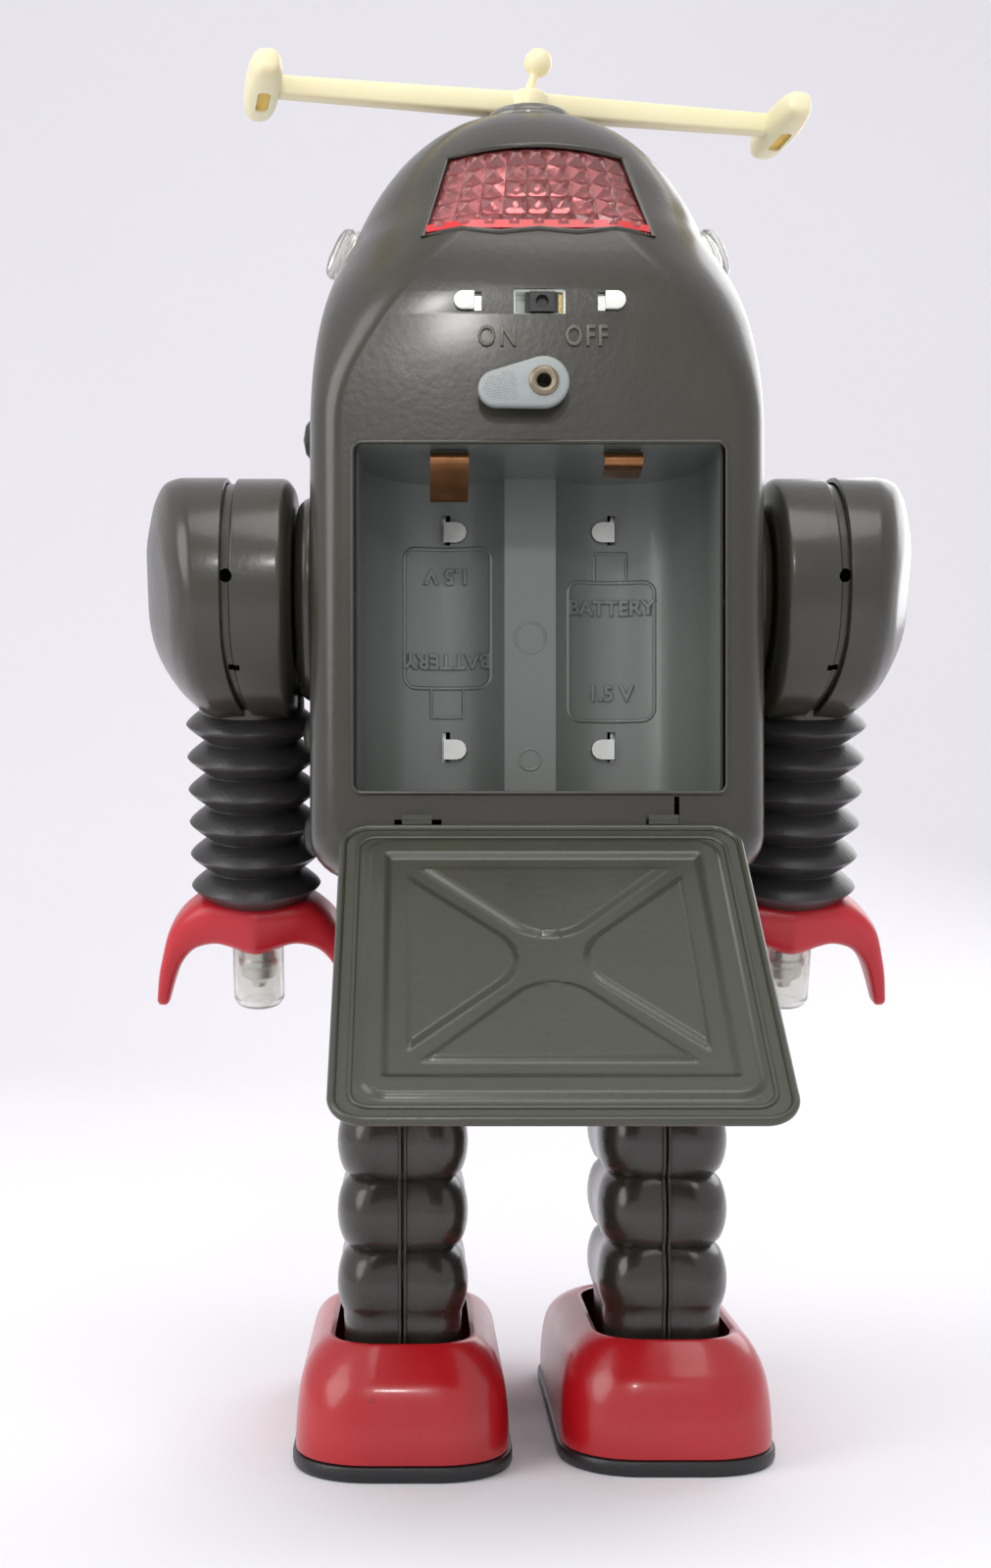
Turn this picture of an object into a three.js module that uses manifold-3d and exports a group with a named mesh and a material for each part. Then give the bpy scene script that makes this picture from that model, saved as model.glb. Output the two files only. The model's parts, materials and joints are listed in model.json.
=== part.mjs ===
// A battery-operated walking tin robot, about 29 cm tall, as an assembly of separate pieces.
// Millimetres, +Z up. The robot stands on the plane z = 0 and faces -Y; its own left is +X.
// The drawing frame has y = 0 at half the body's depth. The last lines move the finished group in y,
// so that the origin of the exported part is the bottom centre of the whole object's box.
import * as THREE from "three";
import { mergeVertices } from "three/addons/utils/BufferGeometryUtils.js";
import Module from "manifold-3d";

const wasm = await Module();
wasm.setup();

// ---------------------------------------------------------------- driving dimensions

const GAP = 0.3; // between pieces that touch
const TIN = 0.8; // wall of a pressed shell

// Torso: a flat-backed arch closed by a dome.
const BODY = {
  halfWidth: 44.8,
  halfDepth: 37.5,
  bottom: 116,
  bottomRadius: 9, // rounding of the lower edge
  archStart: 202, // above this the sides draw in
  domeStart: 225, // above this the front and back draw in
  top: 277.8,
  archPower: 2.3, // shape of the arch seen from behind: 2 would be an ellipse
  flatHalfWidth: 38, // of the flat back, below flatStart
  flatStart: 205,
  flatTop: 253, // where the flat back runs out
  cornerDepth: 10, // how far the rounded rear edge reaches forward
};
const REAR = BODY.halfDepth; // y of the flat back
const SEAM_STEPS = 5; // segments in each rounded corner of a section

const PLUG = { y: 8.5, z: 208, stem: 2, head: 4.4 }; // in the left side, above the shoulder

// Battery bay: two cells of 34.2 x 61.5 mm side by side.
const BAY = { halfWidth: 35.9, bottom: 132.8, top: 200 };
const TROUGH = { x: 17.5, y: 20.2, radius: 17.4, landHalf: 5.35 };

// Battery door, drawn closed, hinged along its lower edge.
const DOOR = { halfWidth: 38.3, length: 78, hem: 1.2, corner: 6, sheet: 0.8, openDeg: 130 };
const HINGE = { y: REAR + 1.4, z: 126, radius: 1.1, inner: 19.5, outer: 27.5 };

const WINDOW = { bottom: 242, top: 260.5, bottomHalf: 22.3, topHalf: 17.4 };
const SWITCH = { z: 227.4, halfWidth: 4.95, halfHeight: 2.45, tabX: 12.9 };
const LATCH = { x: -0.5, z: 210.6, bigRadius: 4.6, smallRadius: 3.3, reach: 9.5, tiltDeg: 8 };

const ARM = { z: 176, inner: 49, outer: 80.9, radius: 25.5, split: 61, hang: 17, x: 59.4 };
const BELLOWS = { top: 24.5, pleats: 6, pitch: 6.65, crest: 14.1, root: 10.6, bore: 8.6 };
const CLAW = { top: 64.8, tipX: 21.7, tipDrop: 91.2 };

const LEG = { x: 26.5, y: 6, halfWidth: 12.5, halfDepth: 21.5, stagger: 1.9 };
const BULGE = { bottom: 27.9, pitch: 14.2, count: 6, waist: 0.86 };
const SHOE = { heel: 37.5, toe: -54.5, halfWidth: 21.7, solePlate: 3.1 };
const ROLLER = { radius: 5, halfWidth: 6, shaft: 1.4, frontY: -36, rearY: 22, z: 5.3 };

const ANTENNA = { z: 281.3, reach: 56.5, turnDeg: 10, height: 4.7, width: 3.6 };

const PLATE_X = 17.5; // the gearbox's side plates
const TAB_HEIGHTS = [143.9, 189.7]; // of the folded tabs that hold the battery tray to them
const GEAR_MODULE = 1.2;
const TEETH = { wheel: 24, pinion: 8 };

// ---------------------------------------------------------------- materials

const metal = (color, roughness = 0.4, metalness = 0.2) =>
  new THREE.MeshStandardMaterial({ color, roughness, metalness });
const MATERIALS = {
  olive: metal(0x4a4a40, 0.35, 0.3),
  grey: metal(0x6f7775, 0.4, 0.3),
  red: metal(0xb3121c, 0.25, 0.2),
  redPlastic: metal(0xc4202a, 0.35, 0),
  redLens: metal(0xa01a20, 0.15, 0),
  clear: metal(0xd8dcd2, 0.1, 0),
  cream: metal(0xe8e4b4, 0.4, 0),
  greyPlastic: metal(0x9aa3a5, 0.5, 0),
  blackRubber: metal(0x1b1b1c, 0.6, 0),
  brownRubber: metal(0x3a3635, 0.5, 0),
  copper: metal(0xa5683c, 0.35, 0.9),
  brass: metal(0xa08a4c, 0.35, 0.9),
  steel: metal(0xb9bcb8, 0.35, 0.9),
  nylon: metal(0xdcd9cc, 0.5, 0),
};

// ---------------------------------------------------------------- helpers

const radians = THREE.MathUtils.degToRad;
const lerp = THREE.MathUtils.lerp;

function manifoldOf(vertProperties, triVerts) {
  return new wasm.Manifold(new wasm.Mesh({ numProp: 3, vertProperties, triVerts }));
}

// A closed three.js geometry as a solid with its faces pointing out.
function solid(geometry) {
  const bare = geometry.clone();
  bare.deleteAttribute("normal");
  bare.deleteAttribute("uv");
  const merged = mergeVertices(bare, 1e-4);
  const vertices = new Float32Array(merged.attributes.position.array);
  const triangles = new Uint32Array(merged.index.array);
  const made = manifoldOf(vertices, triangles);
  return made.volume() > 0 ? made : manifoldOf(vertices, triangles.reverse());
}

function geometryOf(made) {
  const { vertProperties, triVerts } = made.getMesh();
  const geometry = new THREE.BufferGeometry();
  geometry.setAttribute("position", new THREE.BufferAttribute(vertProperties, 3));
  geometry.setIndex(new THREE.BufferAttribute(triVerts, 1));
  geometry.computeVertexNormals();
  return geometry;
}

// Adds a named piece to a group and returns its mesh.
function piece(group, name, material, made) {
  const mesh = new THREE.Mesh(geometryOf(made), MATERIALS[material]);
  mesh.name = name;
  group.add(mesh);
  return mesh;
}

// The solid between rings of equally many points, closed at both ends.
function loft(rings) {
  const count = rings[0].length;
  const index = [];
  for (let r = 0; r + 1 < rings.length; r++)
    for (let i = 0; i < count; i++) {
      const a = r * count + i;
      const b = r * count + ((i + 1) % count);
      index.push(a, b, b + count, a, b + count, a + count);
    }
  const cap = (ring, offset, flip) => {
    const box = new THREE.Box3().setFromPoints(ring).getSize(new THREE.Vector3());
    const drop = box.x < Math.min(box.y, box.z) ? "x" : box.y < box.z ? "y" : "z";
    const [u, v] = { x: ["y", "z"], y: ["z", "x"], z: ["x", "y"] }[drop];
    const flat = ring.map((p) => new THREE.Vector2(p[u], p[v]));
    const turn = Math.sign(THREE.ShapeUtils.area(flat));
    for (const [a, b, c] of THREE.ShapeUtils.triangulateShape(flat, [])) {
      const same = Math.sign(THREE.ShapeUtils.area([flat[a], flat[b], flat[c]])) === turn;
      const face = same === flip ? [a, c, b] : [a, b, c];
      index.push(...face.map((i) => i + offset));
    }
  };
  cap(rings[0], 0, true);
  cap(rings.at(-1), (rings.length - 1) * count, false);
  const geometry = new THREE.BufferGeometry().setFromPoints(rings.flat());
  geometry.setIndex(index);
  return solid(geometry);
}

const shapeOf = (points) => new THREE.Shape(points.map(([a, b]) => new THREE.Vector2(a, b)));
const prism = (shape, depth, steps = 6) =>
  new THREE.ExtrudeGeometry(shape, { depth, bevelEnabled: false, curveSegments: steps });

// A flat outline pushed along one axis, from one coordinate to another.
const alongZ = (shape, from, to, steps) => solid(prism(shape, to - from, steps).translate(0, 0, from));
const alongY = (shape, from, to, steps) => // the outline is drawn in (x, z)
  solid(prism(shape, to - from, steps).rotateX(Math.PI / 2).translate(0, to, 0));
function alongX(shape, from, to, steps) { // the outline is drawn in (y, z)
  const swap = new THREE.Matrix4().set(0, 0, 1, from, 1, 0, 0, 0, 0, 1, 0, 0, 0, 0, 0, 1);
  return solid(prism(shape, to - from, steps).applyMatrix4(swap));
}

const box = (x0, x1, y0, y1, z0, z1) =>
  solid(new THREE.BoxGeometry(x1 - x0, y1 - y0, z1 - z0)
    .translate((x0 + x1) / 2, (y0 + y1) / 2, (z0 + z1) / 2));

// Turned pieces: the profile holds [radius, distance along the axis].
const turned = (profile, steps) =>
  new THREE.LatheGeometry(profile.map(([r, h]) => new THREE.Vector2(r, h)), steps);
const aboutZ = (profile, steps = 20) => solid(turned(profile, steps).rotateX(Math.PI / 2));
const aboutY = (profile, steps = 20) => solid(turned(profile, steps));
const aboutX = (profile, steps = 20) => solid(turned(profile, steps).rotateZ(-Math.PI / 2));
const rod = (radius, from, to) => [[0, from], [radius, from], [radius, to], [0, to]];
const tube = (inner, outer, from, to) =>
  [[inner, from], [outer, from], [outer, to], [inner, to], [inner, from]];

const move = (made, x, y, z) => made.translate([x, y, z]);

// A rectangle with round corners.
function roundedRectangle(halfX, halfY, radius, centreX = 0, centreY = 0) {
  const shape = new THREE.Shape();
  const corner = (sx, sy, start) => shape.absarc(
    centreX + sx * (halfX - radius), centreY + sy * (halfY - radius),
    radius, radians(start), radians(start + 90), false);
  corner(1, 1, 0);
  corner(-1, 1, 90);
  corner(-1, -1, 180);
  corner(1, -1, 270);
  return shape;
}

// A folded tab's outline in (x, z): straight at its root, round at its tip.
function roundedTab(root, tip, middle, half) {
  const out = Math.sign(tip - root);
  const points = [[root, middle - half]];
  for (let i = 0; i <= 6; i++) {
    const a = radians(-90 + i * 30);
    points.push([tip - out * half * (1 - Math.cos(a)), middle + half * Math.sin(a)]);
  }
  points.push([root, middle + half]);
  return shapeOf(points);
}

// The outline of two discs of different size and their common tangents.
function paddle(bigRadius, smallRadius, reach, steps = 7) {
  const lean = Math.asin((bigRadius - smallRadius) / reach);
  const points = [];
  for (let i = 0; i <= steps; i++) {
    const a = lerp(-Math.PI / 2 + lean, Math.PI / 2 - lean, i / steps);
    points.push([reach + smallRadius * Math.cos(a), smallRadius * Math.sin(a)]);
  }
  for (let i = 0; i <= steps; i++) {
    const a = lerp(Math.PI / 2 - lean, 1.5 * Math.PI + lean, i / steps);
    points.push([bigRadius * Math.cos(a), bigRadius * Math.sin(a)]);
  }
  return shapeOf(points);
}

// ---------------------------------------------------------------- torso surface

// The torso's horizontal section at height z, drawn inside the outer face by inset.
function torsoRing(z, inset) {
  const arch = Math.max(0, (z - BODY.archStart) / (BODY.top - BODY.archStart - inset));
  const dome = Math.max(0, (z - BODY.domeStart) / (BODY.top - BODY.domeStart - inset));
  const flat = Math.max(0, (z - BODY.flatStart) / (BODY.flatTop - BODY.flatStart));
  const low = Math.max(0, BODY.bottomRadius - (z - BODY.bottom));
  const foot = BODY.bottomRadius - Math.sqrt(BODY.bottomRadius ** 2 - low ** 2);
  const narrow = (1 - Math.min(arch, 1) ** BODY.archPower) ** (1 / BODY.archPower);
  const halfWidth = (BODY.halfWidth - inset) * narrow - foot;
  const halfDepth = (BODY.halfDepth - inset) * Math.sqrt(1 - Math.min(dome, 1) ** 2) - foot;
  const flatHalf = BODY.flatHalfWidth * (1 - Math.min(flat, 1) ** 1.7) - foot;
  const straight = Math.max(0.2, Math.min(flatHalf, halfWidth - 0.2));
  const reach = lerp(BODY.cornerDepth, BODY.halfDepth, Math.min(flat, 1) ** 2);
  const corner = Math.min(reach, halfDepth - 0.2);
  const ring = [];
  for (let quadrant = 0; quadrant < 4; quadrant++) {
    const sx = quadrant === 0 || quadrant === 3 ? 1 : -1;
    const sy = quadrant < 2 ? 1 : -1;
    for (let i = 0; i <= SEAM_STEPS; i++) {
      const a = ((quadrant + i / SEAM_STEPS) * Math.PI) / 2;
      const x = sx * straight + (halfWidth - straight) * Math.cos(a);
      const y = sy * (halfDepth - corner) + corner * Math.sin(a);
      ring.push(new THREE.Vector3(x, y, z));
    }
  }
  return ring;
}

const TORSO_LEVELS = [0, 1.2, 3.6, 9, 89, 100, 110, 119, 127, 135, 143, 150, 155.5, 159.5, 161.2];
const torso = (inset, below = 0) => {
  const shrink = (BODY.top - BODY.bottom - inset) / (BODY.top - BODY.bottom);
  const rings = TORSO_LEVELS.map((level) => torsoRing(BODY.bottom + level * shrink, inset));
  const foot = rings[0].map((p) => new THREE.Vector3(p.x, p.y, p.z - below));
  return loft(below ? [foot, ...rings] : rings);
};

const outerTorso = torso(0);
const torsoSkin = (outside, inside) => torso(-outside).subtract(torso(inside, 5));

// ---------------------------------------------------------------- torso pieces

const root = new THREE.Group();

const trapezoid = (shrink) => shapeOf([
  [-WINDOW.bottomHalf + shrink, WINDOW.bottom + shrink],
  [WINDOW.bottomHalf - shrink, WINDOW.bottom + shrink],
  [WINDOW.topHalf - shrink, WINDOW.top - shrink],
  [-WINDOW.topHalf + shrink, WINDOW.top - shrink],
]);

// The side lamps of the head: clear caps whose axes point out, a little back and up.
const LAMP = { x: 35.8, y: -1, z: 248.2, radius: 5.8 };
const lampAxis = new THREE.Vector3(0.9, 0.08, 0.42).normalize();
function lampPlaced(profile, side) {
  const aim = new THREE.Vector3(side * lampAxis.x, lampAxis.y, lampAxis.z);
  const geometry = turned(profile, 16).rotateX(Math.PI / 2);
  geometry.applyQuaternion(new THREE.Quaternion().setFromUnitVectors(new THREE.Vector3(0, 0, 1), aim));
  return solid(geometry.translate(side * LAMP.x, LAMP.y, LAMP.z));
}

function torsoShells() {
  let shell = torso(0).subtract(torso(TIN, 5));
  for (const side of [1, -1])
    shell = shell
      .subtract(lampPlaced(rod(LAMP.radius + GAP, -4, 12), side))
      .subtract(aboutX(rod(3.2, Math.min(0, side * 60), Math.max(0, side * 60))).translate([0, 0, ARM.z]));
  shell = shell.subtract(aboutZ(rod(2.2, BODY.top - 8, BODY.top + 8), 12));
  shell = shell.subtract(aboutX(rod(PLUG.stem + GAP, 40, 50), 16).translate([0, PLUG.y, PLUG.z]));

  const rear = shell
    .subtract(box(-100, 100, -100, GAP / 2, 0, 400))
    .subtract(box(-BAY.halfWidth, BAY.halfWidth, REAR - 5, REAR + 5, BAY.bottom, BAY.top))
    .subtract(alongY(trapezoid(0), 5, REAR + 5))
    .subtract(box(-SWITCH.halfWidth, SWITCH.halfWidth, REAR - 5, REAR + 5,
      SWITCH.z - SWITCH.halfHeight, SWITCH.z + SWITCH.halfHeight))
    .subtract(aboutY(rod(2.2, REAR - 5, REAR + 5), 16).translate([LATCH.x, 0, LATCH.z]));
  const slots = [1, -1].map((side) => {
    const tab = [side * (SWITCH.tabX - 1), side * (SWITCH.tabX + 0.6)].sort((a, b) => a - b);
    const hinge = [side * (HINGE.inner - 1), side * (HINGE.outer + 1)].sort((a, b) => a - b);
    return box(tab[0], tab[1], REAR - 5, REAR + 5, SWITCH.z - 2, SWITCH.z + 2)
      .add(box(hinge[0], hinge[1], REAR - 5, REAR + 5, HINGE.z - 0.6, HINGE.z + 1.4));
  });
  piece(root, "rear_shell", "olive", slots.reduce((whole, slot) => whole.subtract(slot), rear));

  const front = shell
    .subtract(box(-100, 100, -GAP / 2, 100, 0, 400))
    .subtract(alongY(trapezoid(0), -REAR - 5, -5))
    .subtract(alongY(roundedRectangle(17, 5, 2, 0, 222), -REAR - 5, -REAR + 5, 3))
    .subtract(aboutY(rod(13, -REAR - 5, -REAR + 5), 24).translate([0, 0, 166]));
  piece(root, "front_shell", "olive", front);
}

function torsoFittings() {
  const floor = alongZ(roundedRectangle(34.2, 26.8, 6), BODY.bottom + 0.6, BODY.bottom + 1.8, 3);
  const slots = [1, -1].map((side) =>
    box(side * LEG.x - 2, side * LEG.x + 2, LEG.y - 19, LEG.y + 19, 110, 125));
  piece(root, "base_plate", "grey", floor.subtract(slots[0]).subtract(slots[1]));

  const cap = aboutZ([[0, 273.5], [9.7, 273.5], [9.7, 277.2], [8.9, 278.1], [6, 278.5], [0, 278.6]], 16)
    .subtract(torso(-GAP))
    .subtract(aboutZ(rod(2.2, 270, 285), 12));
  piece(root, "crown_cap", "clear", cap);

  const skin = torsoSkin(1.1, 1.5);
  piece(root, "rear_lens", "redLens", skin.intersect(alongY(trapezoid(GAP), 5, REAR + 5)));
  piece(root, "front_visor", "redLens", skin.intersect(alongY(trapezoid(GAP), -REAR - 5, -5)));

  const lampCap = [[0, 4.8], [4, 4.8], [4.8, 4.2], [4.8, -1.5], [5.8, -1.5], [5.8, 4.4],
    [5.3, 5.6], [3.6, 6.3], [0, 6.5]];
  piece(root, "side_lens_left", "clear", lampPlaced(lampCap, 1));
  piece(root, "side_lens_right", "clear", lampPlaced(lampCap, -1));

  let grille = alongY(roundedRectangle(16.7, 4.7, 1.8, 0, 222), -REAR - 0.6, -REAR + 1.2, 3);
  for (let i = -3; i <= 3; i++)
    grille = grille.subtract(box(i * 4.4 - 1.1, i * 4.4 + 1.1, -REAR - 2, -REAR + 2, 219, 225));
  piece(root, "mouth_grille", "steel", grille);

  const dial = aboutY([[0, -REAR - 0.2], [10.8, -REAR - 0.2], [11, -REAR - 1.2], [12.2, -REAR - 1.2],
    [12.7, -REAR - 0.4], [12.7, -REAR + 1.4], [0, -REAR + 1.4]], 24);
  piece(root, "chest_dial", "steel", dial.translate([0, 0, 166]));

  const boss = [[3.4, 44.8 + GAP], [26, 44.8 + GAP], [25.4, 46.4], [22, 47.8], [12, 48.4], [3.4, 48.5],
    [3.4, 44.8 + GAP]];
  for (const [name, side] of [["shoulder_boss_left", 1], ["shoulder_boss_right", -1]]) {
    const mesh = piece(root, name, "olive", aboutX(boss, 22));
    mesh.position.z = ARM.z;
    mesh.scale.x = side;
  }
}

// A domed plug in a hole of the left side.
function sidePlug() {
  const face = BODY.halfWidth + GAP;
  const plug = [[0, face - 1.9], [PLUG.stem, face - 1.9], [PLUG.stem, face], [PLUG.head, face],
    [PLUG.head, face + 0.4], [PLUG.head - 1.4, face + 1.6], [0, face + 2.2]];
  piece(root, "side_plug", "blackRubber", aboutX(plug, 16).translate([0, PLUG.y, PLUG.z]));
}

function switchAndLatch() {
  const depth = REAR - TIN - GAP - 0.3; // the bracket lies against the inner face of the back
  const z0 = SWITCH.z - 3.6;
  const z1 = SWITCH.z + 3.6;
  let bracket = box(-15, 15, depth - 0.6, depth, z0, z1)
    .add(box(-8, 8, depth - 6, depth - 0.4, z0, z1))
    .subtract(box(-6.4, 6.4, depth - 4.6, depth + 1, SWITCH.z - 2.7, SWITCH.z + 2.7));
  for (const side of [1, -1]) {
    const stem = [side * (SWITCH.tabX - 0.25), side * (SWITCH.tabX + 0.35)].sort((a, b) => a - b);
    const fold = roundedTab(side * (SWITCH.tabX - 0.25), side * (SWITCH.tabX + 3.6), SWITCH.z, 1.7);
    bracket = bracket
      .add(box(stem[0], stem[1], depth - 0.5, REAR + 0.9, SWITCH.z - 1.6, SWITCH.z + 1.6))
      .add(alongY(fold, REAR + GAP, REAR + 0.9));
  }
  piece(root, "switch_bracket", "steel", bracket);

  const slider = box(-3.2, 3.2, depth - 4.2, REAR - 1.5, SWITCH.z - 2.2, SWITCH.z + 2.2)
    .add(box(-2.4, 2.4, REAR - 1.6, REAR - 0.2, SWITCH.z - 1.9, SWITCH.z + 1.9))
    .subtract(aboutY(rod(1.3, REAR - 1.4, REAR + 1), 12).translate([0, 0, SWITCH.z]));
  const knob = piece(root, "switch_slider", "blackRubber", slider);
  knob.position.x = -0.5; // off; it slides 2.7 mm towards the robot's left to switch on

  const front = REAR + 2.8;
  const lever = alongY(paddle(LATCH.bigRadius, LATCH.smallRadius, LATCH.reach), front, front + 2, 8)
    .subtract(aboutY(rod(2.2, front - 1, front + 3), 16));
  const latch = piece(root, "latch_lever", "greyPlastic", lever);
  latch.position.set(LATCH.x, 0, LATCH.z);
  latch.rotation.y = radians(LATCH.tiltDeg);

  const inner = REAR - TIN - GAP;
  const rivet = aboutY([[1.25, REAR - 2.2], [3.4, REAR - 2.2], [3.4, inner], [1.9, inner], [1.9, REAR + GAP],
    [3.6, REAR + GAP], [3.6, front - GAP], [1.9, front - GAP], [1.9, front + 2 + GAP],
    [2.9, front + 2 + GAP], [2.5, front + 3], [1.25, front + 3], [1.25, REAR - 2.2]], 14);
  piece(root, "latch_rivet", "brass", rivet.translate([LATCH.x, 0, LATCH.z]));
}

function batteryBay() {
  const sheet = 0.7;
  const rim = REAR - TIN - GAP;
  const trough = (grow) => {
    const radius = TROUGH.radius + grow;
    const reach = Math.acos((TROUGH.x - TROUGH.landHalf + grow * 0.5) / TROUGH.radius);
    const points = [[TROUGH.x + radius, rim + (grow ? 0 : 1)]];
    for (let i = 0; i <= 10; i++) {
      const a = lerp(0, -Math.PI + reach, i / 10);
      points.push([TROUGH.x + radius * Math.cos(a), TROUGH.y + radius * Math.sin(a)]);
    }
    return points;
  };
  const profile = (grow) => {
    const half = trough(grow);
    return shapeOf([...half, ...half.toReversed().map(([x, y]) => [-x, y])]);
  };
  let tray = alongZ(profile(sheet), BAY.bottom - sheet, BAY.top + sheet)
    .subtract(alongZ(profile(0), BAY.bottom, BAY.top));
  for (const side of [1, -1])
    for (const z of TAB_HEIGHTS)
      tray = tray.subtract(box(side * PLATE_X - 0.9, side * PLATE_X + 0.9, -2, 6, z - 2.5, z + 2.5));
  piece(root, "battery_tray", "grey", tray);

  // Leaf contacts on the bay's top wall, one sprung out over each cell, and a bridge on the floor.
  const leaf = (spring) => alongX(shapeOf([
    [31, BAY.top - GAP], [31, BAY.top - 1], [29.8, BAY.top - 1], [29.4 - spring, BAY.top - 3.4],
    [20 - spring, BAY.top - 4 - spring], [13, BAY.top - 5 - spring], [13, BAY.top - 5.6 - spring],
    [20 - spring, BAY.top - 4.7 - spring], [30.2 - spring, BAY.top - 4], [30.6, BAY.top - 1.6],
    [32, BAY.top - 1.6], [32, BAY.top - GAP],
  ]), -3.7, 3.7);
  piece(root, "contact_left", "copper", leaf(3)).position.x = 16.8;
  piece(root, "contact_right", "copper", leaf(1)).position.x = -16.8;
  const foot = BAY.bottom + 0.7;
  const ridge = shapeOf([[14, foot], [20, foot], [17, foot + 0.8]]);
  const bridge = box(-24, 24, 14, 20, BAY.bottom + GAP, BAY.bottom + 0.9)
    .add(alongX(ridge, 14, 21))
    .add(alongX(ridge, -21, -14));
  piece(root, "contact_bridge", "copper", bridge);
}

// ---------------------------------------------------------------- battery door

// A triangle with round corners, as the panel's raised fields have.
function roundedTriangle(corners, radii) {
  const points = [];
  corners.forEach((corner, i) => {
    const here = new THREE.Vector2(...corner);
    const toPrevious = new THREE.Vector2(...corners.at(i - 1)).sub(here).normalize();
    const toNext = new THREE.Vector2(...corners[(i + 1) % 3]).sub(here).normalize();
    const half = toPrevious.angleTo(toNext) / 2;
    const run = radii[i] / Math.tan(half);
    const start = here.clone().addScaledVector(toPrevious, run);
    const end = here.clone().addScaledVector(toNext, run);
    const bend = new THREE.QuadraticBezierCurve(start, here, end);
    points.push(...bend.getPoints(3).map((p) => [p.x, p.y]));
  });
  return shapeOf(points);
}

function batteryDoor() {
  const hinge = new THREE.Group();
  hinge.position.set(0, HINGE.y, HINGE.z);
  hinge.rotation.x = -radians(DOOR.openDeg);
  root.add(hinge);

  // Closed, in the hinge's own frame: z runs up the door, y out of the body.
  const mid = DOOR.length / 2 - 0.4;
  const outline = roundedRectangle(DOOR.halfWidth, DOOR.length / 2, DOOR.corner, 0, mid);
  const inside = roundedRectangle(
    DOOR.halfWidth - DOOR.hem, DOOR.length / 2 - DOOR.hem, DOOR.corner - DOOR.hem, 0, mid);
  const floor = 0.2;
  const raised = -0.7;
  let door = alongY(outline, -1.1, floor + DOOR.sheet, 4).subtract(alongY(inside, -2, floor, 4));
  const band = alongY(roundedRectangle(33.1, 33.8, 3, 0, mid - 0.4), raised, floor + 0.1, 2)
    .subtract(alongY(roundedRectangle(29, 29, 2, 0, mid - 0.4), raised - 1, floor + 0.2, 2));
  door = door.add(band);
  const centre = mid - 0.4;
  const fields = [
    roundedTriangle([[-25.3, centre - 22.8], [-5, centre], [-25.3, centre + 22.8]], [1, 4, 1]),
    roundedTriangle([[25.3, centre - 22.8], [5, centre], [25.3, centre + 22.8]], [1, 4, 1]),
    roundedTriangle([[-22.8, centre - 25.5], [0, centre - 5], [22.8, centre - 25.5]], [1, 4, 1]),
    roundedTriangle([[-22.8, centre + 25.5], [0, centre + 5], [22.8, centre + 25.5]], [1, 4, 1]),
  ];
  for (const field of fields) door = door.add(alongY(field, raised, floor + 0.1, 2));
  for (const side of [1, -1]) {
    const knuckle = aboutX(rod(HINGE.radius, Math.min(side * HINGE.inner, side * HINGE.outer),
      Math.max(side * HINGE.inner, side * HINGE.outer)), 12);
    door = door.add(knuckle);
  }
  piece(hinge, "battery_door", "olive", door);
}

// ---------------------------------------------------------------- antenna

function antenna() {
  const turn = new THREE.Group();
  turn.rotation.z = radians(ANTENNA.turnDeg);
  root.add(turn);
  const half = ANTENNA.height / 2;
  const low = ANTENNA.z - half;
  let bar = box(-ANTENNA.reach, ANTENNA.reach, -ANTENNA.width / 2, ANTENNA.width / 2, low, ANTENNA.z + half)
    .add(aboutZ(rod(4.2, low, ANTENNA.z + half), 20));
  for (const side of [1, -1]) {
    const x = side * ANTENNA.reach;
    const pod = new THREE.CapsuleGeometry(4, 17, 3, 10).scale(0.88, 1, 1).translate(x, 0, ANTENNA.z);
    bar = bar.add(solid(pod)).subtract(box(x - 1, x + 1, -5, 5, ANTENNA.z - 6, ANTENNA.z - 1.4));
  }
  bar = bar.subtract(aboutZ(rod(1.8, low - 1, ANTENNA.z + 0.6), 12));
  piece(turn, "antenna_bar", "cream", bar);

  const ball = aboutZ([[0, 0], [1.1, 0], [1.1, 4], [2.2, 4.6], [2.9, 6.2], [2.9, 7.6], [2.1, 9.2],
    [0, 10]], 14);
  const pin = piece(turn, "antenna_pin", "cream", ball);
  pin.position.set(0, 0, ANTENNA.z + half + GAP);
  pin.rotation.set(0, radians(-17), radians(-ANTENNA.turnDeg));

  const shaft = aboutZ([[0, 247], [1.5, 247], [1.5, 247.1], [7, 247.1], [7, 249], [1.5, 249],
    [1.5, ANTENNA.z + 0.3], [0, ANTENNA.z + 0.3]], 12);
  piece(turn, "antenna_shaft", "steel", shaft);
}

// ---------------------------------------------------------------- arms

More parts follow.
